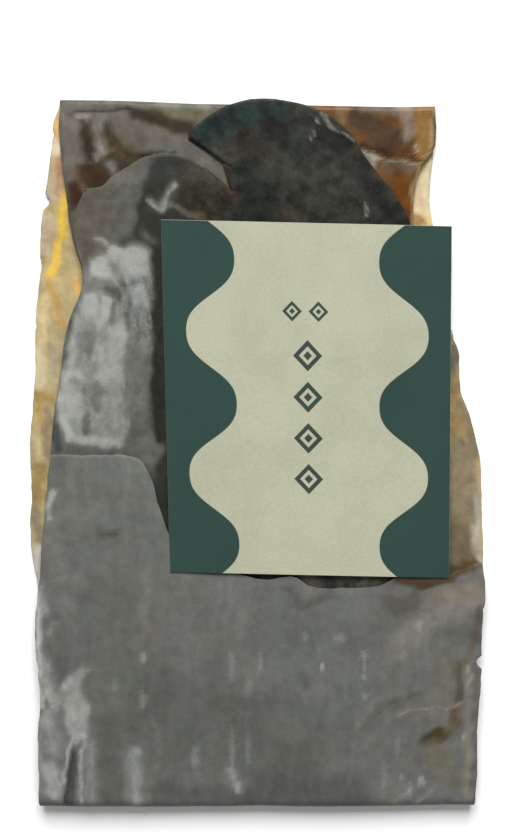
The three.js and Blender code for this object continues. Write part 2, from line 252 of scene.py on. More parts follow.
def height(panel, share, x, y):
    """Height of a panel's middle surface: its level, its part of the broad swells, the ruffles
    that crowd to its margins, the front's plump mound, crumples whose ridges are sharp because
    they turn where an unevenness passes 0, and the fine crinkle of dried blade."""
    z = LEVEL[panel] + SWELL_SHARE[panel] * sum(
        tall * wave(x * per_x + y * per_y + phase) for tall, per_x, per_y, phase in SWELLS
    )
    outward = np.abs(2 * share - 1)
    ruffle = RUFFLE_HEIGHT[panel] * outward**RUFFLE_CROWDING
    z = z + ruffle * wave(y / RUFFLE_LENGTH[panel] + np.where(share < 0.5, 0, RUFFLE_SHIFT))
    frill = FRILL_HEIGHT * outward ** (2 * RUFFLE_CROWDING)
    z = z + frill * wave(y / FRILL_LENGTH + patchy(x, y, FRILL_DRIFT, 31 + panel))
    if panel == FRONT:
        away = ((x - PLUMP_PLACE[0]) / PLUMP_REACH[0]) ** 2 + ((y - PLUMP_PLACE[1]) / PLUMP_REACH[1]) ** 2
        z = z + PLUMP_HEIGHT * np.maximum(0, 1 - away) ** 2
    for place_x, place_y, reach_x, reach_y, tall in CRUMPLES.get(panel, ()):
        away = ((x - place_x) / reach_x) ** 2 + ((y - place_y) / reach_y) ** 2
        facets = np.abs(patchy(x, y, CRUMPLE_SIZE, 91)) + 0.5 * np.abs(patchy(x, y, CRUMPLE_SIZE / 2, 92))
        z = z - tall * ease(CRUMPLE_FADE - away) * (facets - CRUMPLE_SINK)
    return z + layered(x, y, CRINKLE, 41 + panel, 10)


def row_points(panel, share, y):
    """Points [x, y, z, half thickness, panel] of one panel, at shares of its width and at y."""
    share, y = np.broadcast_arrays(share, y)
    x = lerp(margin(panel, 0, y), margin(panel, 1, y), share)
    half = 0.5 * lerp(BLADE_THICKNESS_MIDDLE, BLADE_THICKNESS_MARGIN, np.abs(2 * share - 1) ** 3)
    return np.stack([x, y, height(panel, share, x, y), half, np.full(x.shape, float(panel))], -1)


def panel_points(panel, from_y, to_y, count):
    """Rows of a panel from one line across it to another, evenly spaced, the first left out."""
    along = (np.arange(count) + 1)[:, None] / count
    return row_points(panel, columns, lerp(np.asarray(from_y, float), np.asarray(to_y, float), along))


def fold_points(from_row, to_row, reach, steps):
    """Rows round a fold: half an ellipse from one panel's last row to the next panel's first,
    which stands out along y by the reach, both end rows left out."""
    angle = (np.pi * np.arange(1, steps) / steps)[:, None, None]
    rows = lerp(from_row, to_row, (1 - np.cos(angle)) / 2)
    rows[..., 1] += reach * np.sin(angle[..., 0]) * (1 + along_line(rows[..., 0], FOLD_UNEVENNESS, 65))
    rows[..., 4] = np.where(angle[..., 0] < np.pi / 2, from_row[..., 4], to_row[..., 4])
    return rows


top_fold = smooth_through(TOP_FOLD, lerp(TOP_FOLD[0][0], TOP_FOLD[-1][0], columns))
torn_x = lerp(FLAP_END[0][0], FLAP_END[-1][0], columns)
torn_end = smooth_through(FLAP_END, torn_x) + along_line(torn_x, TORN_RAGGED, 61)

# Rows lie close together where a panel shows, and far apart where others cover it.
FRONT_COVERED_Y = 0
INNER_COVERED_Y = 75
notch_row = row_points(FRONT, columns, NOTCH[1])[None]
front = np.concatenate([
    panel_points(FRONT, NOTCH[1], FRONT_COVERED_Y, 86),
    panel_points(FRONT, FRONT_COVERED_Y, INNER_FOLD_Y, 15),
])
inner_start = row_points(INNER, columns, INNER_FOLD_Y)[None]
inner = np.concatenate([
    panel_points(INNER, INNER_FOLD_Y, INNER_COVERED_Y, 20),
    panel_points(INNER, INNER_COVERED_Y, top_fold, 60),
])
back_start = row_points(BACK, columns, top_fold)[None]
back = np.concatenate([
    panel_points(BACK, top_fold, FLAP_EVEN_Y, 88),
    panel_points(BACK, FLAP_EVEN_Y, WRAP_FOLD_Y, 14),
])
flap_start = row_points(FLAP, columns, WRAP_FOLD_Y)[None]
flap = np.concatenate([
    panel_points(FLAP, WRAP_FOLD_Y, FLAP_EVEN_Y, 58),
    panel_points(FLAP, FLAP_EVEN_Y, torn_end, 40),
])
flap[..., 2] -= FLAP_SETTLE * ease((flap[..., 1] - torn_end) / FLAP_SETTLE_REACH + 1)
flap[..., 3] *= lerp(1, FEATHERED, ease((flap[..., 1] - torn_end) / FEATHER_REACH + 1))
blade = np.concatenate([
    notch_row, front, fold_points(front[-1], inner_start[0], -TIGHT_FOLD_REACH, 6),
    inner_start, inner, fold_points(inner[-1], back_start[0], TIGHT_FOLD_REACH, 9),
    back_start, back, fold_points(back[-1], flap_start[0], -WRAP_FOLD_REACH, 14),
    flap_start, flap,
])


def lobe_points(roots, rim_x, rim_y, rows):
    """Rows from a lobe's rim down to the notch line: x and y run straight from each root to its
    point on the rim, z settles by a quarter sine while the root's own height fades out, and the
    blade thins with the square of the way out, most of all close to the rim."""
    along = np.linspace(1, 0, rows + 1)[:, None]
    x = lerp(roots[:, 0], rim_x, along)
    y = lerp(roots[:, 1], rim_y, along)
    free = height(FRONT, np.full(x.shape, 0.5), x, y) - LOBE_SETTLE * np.sin(along * np.pi / 2)
    z = lerp(roots[:, 2], free, ease(np.hypot(x - roots[:, 0], y - roots[:, 1]) / LOBE_BLEND))
    half = lerp(roots[:, 3], 0.5 * BLADE_THICKNESS_MARGIN * lerp(1, FEATHERED, along**6), along**2)
    return np.stack([x, y, z, half, np.full(x.shape, float(FRONT))], -1)


left_roots = notch_row[0, : notch_column + 1]
left_rise = np.maximum(0, smooth_through(LEFT_LOBE_RISE, left_roots[:, 0]))
ragged = along_line(left_roots[:, 0], LEFT_RAGGED, 63) * ease(left_rise / LEFT_RAGGED_FROM)
left_lobe = lobe_points(left_roots, left_roots[:, 0], NOTCH[1] + left_rise + ragged, 16)

# The right lobe's rim is measured off evenly along its outline, from the notch round.
right_roots = notch_row[0, notch_column:]
outline_at = np.linspace(0, len(RIGHT_LOBE_OUTLINE) - 1, 600)
outline_x, outline_y = (
    smooth_through(list(enumerate(values)), outline_at) for values in zip(*RIGHT_LOBE_OUTLINE)
)
outline_run = np.concatenate([[0], np.cumsum(np.hypot(np.diff(outline_x), np.diff(outline_y)))])
rim_run = (columns[notch_column:] - notch_share) / (1 - notch_share) * outline_run[-1]
rim_end_gap = np.minimum(rim_run, outline_run[-1] - rim_run)
fringe = along_line(rim_run, RIGHT_RAGGED, 64) * ease(rim_end_gap / RIGHT_RAGGED_FROM)
rim_x = np.interp(rim_run, outline_run, outline_x) + fringe
rim_y = np.interp(rim_run, outline_run, outline_y) + fringe
right_lobe = lobe_points(right_roots, rim_x, rim_y, 30)

# Its corner over the notch droops to the inner panel.
from_corner = np.hypot(right_lobe[..., 0] - CORNER_PLACE[0], right_lobe[..., 1] - CORNER_PLACE[1])
right_lobe[..., 2] -= CORNER_DROOP * (1 - ease(from_corner / CORNER_REACH))


def grid_triangles(rows, count, first):
    """Two triangles for each square of a grid whose points are numbered row by row from first."""
    number = first + np.arange(rows * count).reshape(rows, count)
    a, b, c, d = number[:-1, :-1], number[1:, :-1], number[1:, 1:], number[:-1, 1:]
    halves = [np.stack([a, b, c], -1), np.stack([a, c, d], -1)]
    return np.concatenate([half.reshape(-1, 3) for half in halves])


def welded(patches):
    """Points and triangles of all the patches of rows, with points at one place, to a thousandth
    of a millimetre, made one and the triangles that this squeezes to a line dropped."""
    points = np.concatenate([rows.reshape(-1, rows.shape[-1]) for rows in patches])
    firsts = np.cumsum([0] + [rows.shape[0] * rows.shape[1] for rows in patches])
    triangles = np.concatenate([
        grid_triangles(rows.shape[0], rows.shape[1], first) for rows, first in zip(patches, firsts)
    ])
    places = np.round(points[:, :3] * 1000).astype(int)
    _, keep, renumber = np.unique(places, axis=0, return_index=True, return_inverse=True)
    triangles = renumber.ravel()[triangles]
    a, b, c = triangles.T
    return points[keep], triangles[(a != b) & (b != c) & (c != a)]


def unit(vectors):
    """The same directions, one long."""
    return vectors / np.maximum(np.linalg.norm(vectors, axis=1, keepdims=True), 1e-12)


def vertex_normals(places, triangles):
    """At each point the sum of its triangles' cross products, one long."""
    a, b, c = places[triangles].transpose(1, 0, 2)
    across = np.cross(b - a, c - a)
    total = np.zeros_like(places)
    for corner in range(3):
        np.add.at(total, triangles[:, corner], across)
    return unit(total)


def rim_edges(triangles):
    """Edges that only one triangle has, in that triangle's direction."""
    edges = np.concatenate([triangles[:, [0, 1]], triangles[:, [1, 2]], triangles[:, [2, 0]]])
    many = triangles.max() + 1
    code = edges[:, 0] * many + edges[:, 1]
    return edges[~np.isin(code, edges[:, 1] * many + edges[:, 0])]


def thickened(places, triangles, above, below, bulge):
    """A closed solid from an open sheet: its points moved out along their normals by `above` on
    one face and by `below` on the other, and all round the rim a wall that bulges by `bulge`
    times the half thickness. Gives the points, the triangles and the rim's sheet points."""
    normal = vertex_normals(places, triangles)
    count = len(places)
    edges = rim_edges(triangles)
    outward = np.zeros_like(places)
    run = unit(places[edges[:, 1]] - places[edges[:, 0]])
    for end in range(2):
        np.add.at(outward, edges[:, end], np.cross(run, normal[edges[:, 0]]))
    rim = np.unique(edges)
    half = 0.5 * (above + below)[rim, None]
    ring = places[rim] + unit(outward[rim]) * half * bulge
    ring_number = np.zeros(count, int)
    ring_number[rim] = 2 * count + np.arange(len(rim))
    a, b = edges.T
    ring_a, ring_b = ring_number[a], ring_number[b]
    walls = [(ring_a, ring_b, b), (ring_a, b, a), (count + a, count + b, ring_b), (count + a, ring_b, ring_a)]
    faces = [triangles, count + triangles[:, ::-1]] + [np.stack(wall, -1) for wall in walls]
    points = [places + normal * above[:, None], places - normal * below[:, None], ring]
    return np.concatenate(points), np.concatenate(faces), rim


sheet, sheet_triangles = welded([left_lobe, right_lobe, blade])
x, y, half, panel = sheet[:, 0], sheet[:, 1], sheet[:, 3], sheet[:, 4].astype(int)


# ---- The leaf: creases, meal, stains, painted glints and painted shade ----------------------
# Drying leaves the blade dark olive-grey, with amber where it is thin, and a mealy white bloom
# of its own salts and sugars crystallises on it. Folding creases it: painted glints lie along the
# creases' ridges and on crinkles, and painted shade lies along their grooves.

def gap_to(path, x, y):
    """Distance in mm from each point to a path of straight runs through the given corners."""
    gap = np.full(x.shape, 1e3)
    for (x0, y0), (x1, y1) in zip(path, path[1:] or path):
        long = max((x1 - x0) ** 2 + (y1 - y0) ** 2, 1e-9)
        run = np.clip(((x - x0) * (x1 - x0) + (y - y0) * (y1 - y0)) / long, 0, 1)
        gap = np.minimum(gap, np.hypot(x - x0 - run * (x1 - x0), y - y0 - run * (y1 - y0)))
    return gap


def depth_inside(outline, x, y):
    """Distance in mm to a closed outline, positive inside it and negative outside."""
    closed = outline + outline[:1]
    inside = np.zeros(x.shape, bool)
    for (x0, y0), (x1, y1) in zip(closed, closed[1:]):
        crosses = (y0 > y) != (y1 > y)
        inside ^= crosses & (x < x0 + (x1 - x0) * (y - y0) / ((y1 - y0) or 1e-9))
    return np.where(inside, 1, -1) * gap_to(closed, x, y)


# Where marks lie, slightly wandering, so that no mark has a ruled edge.
MARK_WANDER = ((1.3, 8.0), (0.6, 3.0))
mark_x = x + layered(x, y, MARK_WANDER, 71)
mark_y = y + layered(x, y, MARK_WANDER, 73)

# The blade has two faces. Each mark lies on a panel's face that shows: the front's and the
# margins of the back seen past the others are the first face, the rest are the second.
FACE_OF = {
    "front": (FRONT, 0), "margins": (BACK, 0), "inner": (INNER, 1), "flap": (FLAP, 1), "rear": (BACK, 1),
}

# The mealy patches, with a clear edge: face, outline, cover.
MEAL_PATCHES = [
    ("front", [(-88.6, 19), (-88, 28), (-86.5, 37), (-84, 51), (-81.2, 65), (-78.6, 71), (-75.5, 76),
               (-68.5, 77), (-63.5, 73.5), (-61, 80), (-64, 83.5), (-72.6, 83.5), (-72.5, 91), (-66, 92.5),
               (-64, 97), (-52, 98), (-47.5, 94), (-46.3, 84), (-46.5, 42), (-50, 26), (-57, 20),
               (-58.5, 8.6), (-74, 8), (-84.5, 9.3)], 0.54),
    ("flap", [(-74, -93.5), (-80, -93), (-88, -98.5), (-91, -106), (-88.5, -119), (-86.5, -128),
              (-84, -131.5), (-79.5, -127), (-77, -120), (-76, -112), (-79, -103), (-79, -97)], 0.56),
]
# Where the front's meal lies thickest, and where it lies thin: path, reach.
MEAL_SPOTS = [
    ([(-68, 89.5), (-68, 85.5)], 3.6), ([(-73.5, 73), (-72.5, 69)], 3.6), ([(-66.5, 74), (-67.5, 67)], 2.8),
    ([(-87.5, 20), (-85, 12.5)], 3.4), ([(-86.5, 32), (-84.5, 44), (-82, 56)], 3.0),
    ([(-84, 26), (-80, 38)], 4.0),
    ([(-82, 11), (-64, 9.5)], 2.6), ([(-78, 64), (-70, 64)], 3.0), ([(-62, 95), (-55, 94), (-51, 86)], 3.6),
    ([(-88, 19), (-85.5, 13)], 2.6), ([(-73, 71.5), (-73, 70)], 2.6), ([(-66.5, 72.5), (-66.8, 70)], 2.4),
    ([(-53, 78), (-52, 74)], 2.8), ([(-61, 60), (-62, 40)], 4.0), ([(-69, 52), (-68, 40)], 2.6),
]
MEAL_HOLES = [
    ([(-69.7, 78), (-69.5, 66)], 0.9), ([(-66.5, 80.5), (-61, 75)], 1.4), ([(-59.5, 82.5), (-58.5, 80)], 1.4),
    ([(-63.5, 70), (-63.5, 66)], 1.5), ([(-74.5, 64), (-73.5, 52)], 4.0), ([(-71, 34), (-71, 26)], 2.8),
    ([(-54, 48), (-52, 24)], 6.0), ([(-62, 88), (-60, 84)], 1.8), ([(-57, 68), (-57, 62)], 1.2),
    ([(-76, 22), (-76, 16)], 2.0), ([(-80, 37), (-77, 33)], 1.6),
]

# Smaller drifts of bloom, and painted glints laid on as drifts: face, path, half width, cover.
BLOOM_AND_GLINT_DRIFTS = [
    ("flap", [(-85, -127), (-88, -138), (-89.5, -150)], 0.9, 0.66),
    ("flap", [(-79.5, -124.5), (-79.5, -126)], 1.0, 0.6),
    ("flap", [(-81, -134), (-81.5, -160)], 0.8, 0.6),
    ("flap", [(-56, -133), (-55, -160)], 2.6, 0.5),
    ("flap", [(-77.5, -132), (-77, -160)], 2.2, 0.36),
    ("flap", [(-96.5, -92), (-92, -108)], 2.6, 0.5),
    ("flap", [(-96, -142), (-93.5, -154)], 3.2, 0.74),
    ("flap", [(-96, -116), (-94, -132)], 3.0, 0.44),
    ("flap", [(-92, -12), (-94, -18), (-93, -23)], 1.3, 0.7),
    ("flap", [(-97.5, -56), (-96, -66)], 1.8, 0.6),
    ("flap", [(-92, -73), (-94, -78)], 1.6, 0.4),
    ("flap", [(-97.5, -84), (-96, -102), (-94.5, -112)], 1.6, 0.62),
    ("flap", [(-10.5, -146), (-9, -153)], 0.9, 0.5),
    ("front", [(-70, 100), (-66, 97.5)], 1.2, 0.5),
    ("front", [(-49, 103), (-46, 99)], 1.4, 0.3),
    # A painted glint on the left lobe's crinkle.
    ("front", [(-35.5, 123.5), (-38.5, 118), (-41.5, 113.5), (-46, 116.5)], 1.7, 0.42),
    ("front", [(-78.5, 94), (-76.5, 86)], 1.0, 0.34),
    ("front", [(-46.3, 66), (-46.5, 62)], 0.8, 0.6),
    # Painted glints on the inner panel's crumpled facets and on its crease.
    ("inner", [(-67.3, 149.5), (-67.3, 147)], 0.9, 0.34),
    ("inner", [(-68, 140), (-67, 137.5)], 1.3, 0.6),
    ("inner", [(-71, 136.5), (-70.5, 134.5)], 0.9, 0.42),
    ("inner", [(-65.6, 131.5), (-63.4, 128.8)], 1.3, 0.42),
    ("inner", [(45.5, 136.2), (49.5, 136.2), (48.4, 131.5)], 1.1, 0.5),
    ("inner", [(68.3, 139.2), (68.8, 138)], 1.0, 0.5),
    ("margins", [(-91, 118), (-88, 117)], 1.4, 0.62),
]

# Creases pinched up, each with a painted glint along its ridge: face, path, ridge height, how pale the
# painted glint.
GLINT_CREASES = [
    ("front", [(-34.5, 124), (-37.5, 120.5), (-41.5, 112.5)], 0.4, 0.9),
    ("front", [(-41.5, 112.5), (-45, 115), (-48.5, 117)], 0.25, 0.8),
    ("front", [(27, 153), (24.6, 149), (22.6, 143.5)], 0.4, 0.85),
    ("front", [(27, 153), (31, 148.6), (36, 145), (41, 141)], 0.35, 0.7),
    ("front", [(46.4, 116), (46, 109.5)], 0.3, 0.8),
    ("inner", [(-78.5, 151.5), (-73, 152.3)], 0.25, 0.5),
    ("inner", [(50, 134.6), (59.5, 133.4), (67, 132.4)], 0.3, 0.6),
    ("flap", [(-84.5, -126), (-87.5, -138), (-89, -150)], 0.35, 0.7),
    ("flap", [(-79.5, -125), (-81, -138), (-81.5, -158)], 0.3, 0.7),
    ("flap", [(93.5, -108.5), (88, -112.5), (80, -112), (72, -113.5), (63, -118)], 0.2, 0.5),
    ("flap", [(73, -159), (80, -152.5)], 0.2, 0.5),
    ("flap", [(63, -158), (70, -152)], 0.15, 0.4),
    ("flap", [(95.3, -93), (96, -108)], 0.25, 0.5),
]

# Creases pressed in, each with painted shade along its groove: face, path, groove depth, how dark the painted
# shade.
SHADED_CREASES = [
    ("inner", [(-78, 154.4), (-70, 154.3), (-57, 154.6)], 0.3, 0.8),
    ("inner", [(45, 137.6), (59.5, 135.4), (67, 134.2), (74, 133.2)], 0.4, 1.0),
    # Painted shade along the left lobe's top rim, on the inner panel beside it.
    ("inner", [(-50, 136.2), (-44, 137), (-36, 137)], 0.2, 0.9),
    # Painted shade along the front panel's left edge, where it lies over the back's margins.
    ("front", [(-77.5, 82), (-81.5, 69), (-85, 54), (-88.5, 33), (-91, 14)], 0.2, 0.6),
    ("flap", [(-84, -134), (-86.5, -146), (-87.5, -160)], 0.35, 0.8),
    ("flap", [(-73, -31.5), (-64, -30.6)], 0.2, 0.25),
    ("flap", [(-95, -38.5), (-83, -35.5), (-73, -32)], 0.12, 0.15),
    ("flap", [(72, -108), (62, -111), (52, -120)], 0.2, 0.3),
    ("margins", [(90.5, 12), (92.5, 6)], 0.15, 0.6),
]

# Patches with a clear edge: outlines of the thin dark ones, and paths and half widths of the
# bright amber ones.
DARK_PATCHES = [
    ("inner", [(-76.4, 150.8), (-72.6, 149.2), (-70.6, 144), (-71.2, 134), (-75, 134), (-75, 143)]),
    ("inner", [(-67.2, 150), (-63.4, 149.2), (-60.8, 144), (-57.4, 139.2), (-51, 137.6), (-46, 137.2),
               (-46, 134), (-57, 128), (-60.5, 129.4), (-62.8, 132.4), (-66, 133.4), (-65.6, 136),
               (-62.8, 139), (-64.6, 143)]),
    ("inner", [(-77, 131.5), (-72, 134.4), (-66.8, 133), (-63.8, 128), (-64.5, 120), (-72, 119),
               (-75.5, 124)]),
    ("inner", [(-82.6, 123.2), (-78, 124.6), (-75.2, 121.4), (-75, 114), (-80.5, 112), (-82.2, 117)]),
    ("inner", [(-61, 155.8), (-54, 156.2), (-48, 155.2), (-38, 152.6), (-27, 149.6), (-27.5, 145.8),
               (-38, 145.8), (-45, 148.6), (-52, 151.8)]),
]
AMBER_PATCHES = [
    ("margins", [(-83.2, 120), (-83.6, 112), (-84.8, 105), (-86, 99.5), (-87.4, 94.5), (-89.4, 89.5),
                 (-91.5, 84.5)], 2.3),
]

CREASE_HALF_WIDTH = 0.9
FAR = 6.0


def on_face(face, values, elsewhere):
    """values at the points of that face's panel, and elsewhere at all the others."""
    return np.where(panel == FACE_OF[face][0], values, elsewhere)


# Each crease is a ridge or a groove by a bell curve, and keeps its gap for the surface, where a
# weaker crease counts as farther off. By these gaps the surface paints a glint along each ridge
# and shade along each groove.
glint_gap = np.full((2, len(x)), FAR)
dark_gap = np.full((2, len(x)), FAR)
relief = np.zeros((2, len(x)))
for creases, gaps, sign in ((GLINT_CREASES, glint_gap, 1), (SHADED_CREASES, dark_gap, -1)):
    for face, path, tall, strength in creases:
        side = FACE_OF[face][1]
        gap = on_face(face, gap_to(path, mark_x, mark_y), FAR)
        gaps[side] = np.minimum(gaps[side], gap + 1 - strength)
        relief[side] += sign * tall * np.exp(-((gap / CREASE_HALF_WIDTH) ** 2))

# Patches keep the gap to their own edge, negative inside.
dark_patch = np.full((2, len(x)), FAR)
amber_patch = np.full((2, len(x)), FAR)
for face, outline in DARK_PATCHES:
    side = FACE_OF[face][1]
    gap = -depth_inside(outline, mark_x, mark_y)
    dark_patch[side] = np.minimum(dark_patch[side], on_face(face, gap, FAR))
for face, path, half_width in AMBER_PATCHES:
    side = FACE_OF[face][1]
    gap = gap_to(path, mark_x, mark_y) - half_width
    amber_patch[side] = np.minimum(amber_patch[side], on_face(face, gap, FAR))

# Meal covers its patches, thicker and thinner at their spots and holes, and its drifts, among them
# the painted glints. Where it covers the blade it also stands up in lumps.
PATCH_SOFTNESS = 3.5
DRIFT_FULLNESS = 1.15
THICKER, THINNER = 0.26, 0.28
LEAST_COVER, MOST_COVER = 0.06, 0.95
MEAL_RELIEF = 0.34
RELIEF_COVER = 0.6
MEAL_LEVEL = 0.6
MEAL_LUMPS = ((0.6, 3.6), (0.3, 2.0))


def nearness(spots):
    """How near each point is to the spots, given as (path, reach): 1 within half the reach of
    a spot's path, 0 past one and a half, summed over the spots."""
    return sum(ease(1.5 - gap_to(path, mark_x, mark_y) / reach) for path, reach in spots)


meal = np.zeros((2, len(x)))
spotted = THICKER * nearness(MEAL_SPOTS) - THINNER * nearness(MEAL_HOLES)
for face, outline, cover in MEAL_PATCHES:
    patch = ease(0.5 + depth_inside(outline, mark_x, mark_y) / PATCH_SOFTNESS)
    meal[FACE_OF[face][1]] += on_face(face, patch * np.clip(cover + spotted, LEAST_COVER, MOST_COVER), 0)
for face, path, half_width, cover in BLOOM_AND_GLINT_DRIFTS:
    side = FACE_OF[face][1]
    drift = cover * ease(DRIFT_FULLNESS - gap_to(path, mark_x, mark_y) / (2 * half_width))
    meal[side] = np.maximum(meal[side], on_face(face, drift, 0))
relief += MEAL_RELIEF * ease(meal / RELIEF_COVER) * (MEAL_LEVEL + layered(x, y, MEAL_LUMPS, 81))

# How much light falls on the card, how much of that each face of the blade gets among its
# neighbours, and what a surface's sheen adds to its colour.
LIGHT = 1.34
LIGHT_SHARE = {"front": 1.16, "margins": 0.86, "inner": 1.06, "flap": 0.88, "rear": 0.88}
SHEEN = 0.01
DARKEST = 0.006


def albedo(seen, light_share=1.0):
    """Linear colour of a surface that is to look like this 0 to 255 colour in the light."""
    value = np.asarray(seen, float) / 255
    linear = np.where(value <= 0.04045, value / 12.92, ((value + 0.055) / 1.055) ** 2.4)
    return np.maximum(linear / (LIGHT * light_share) - SHEEN, DARKEST)
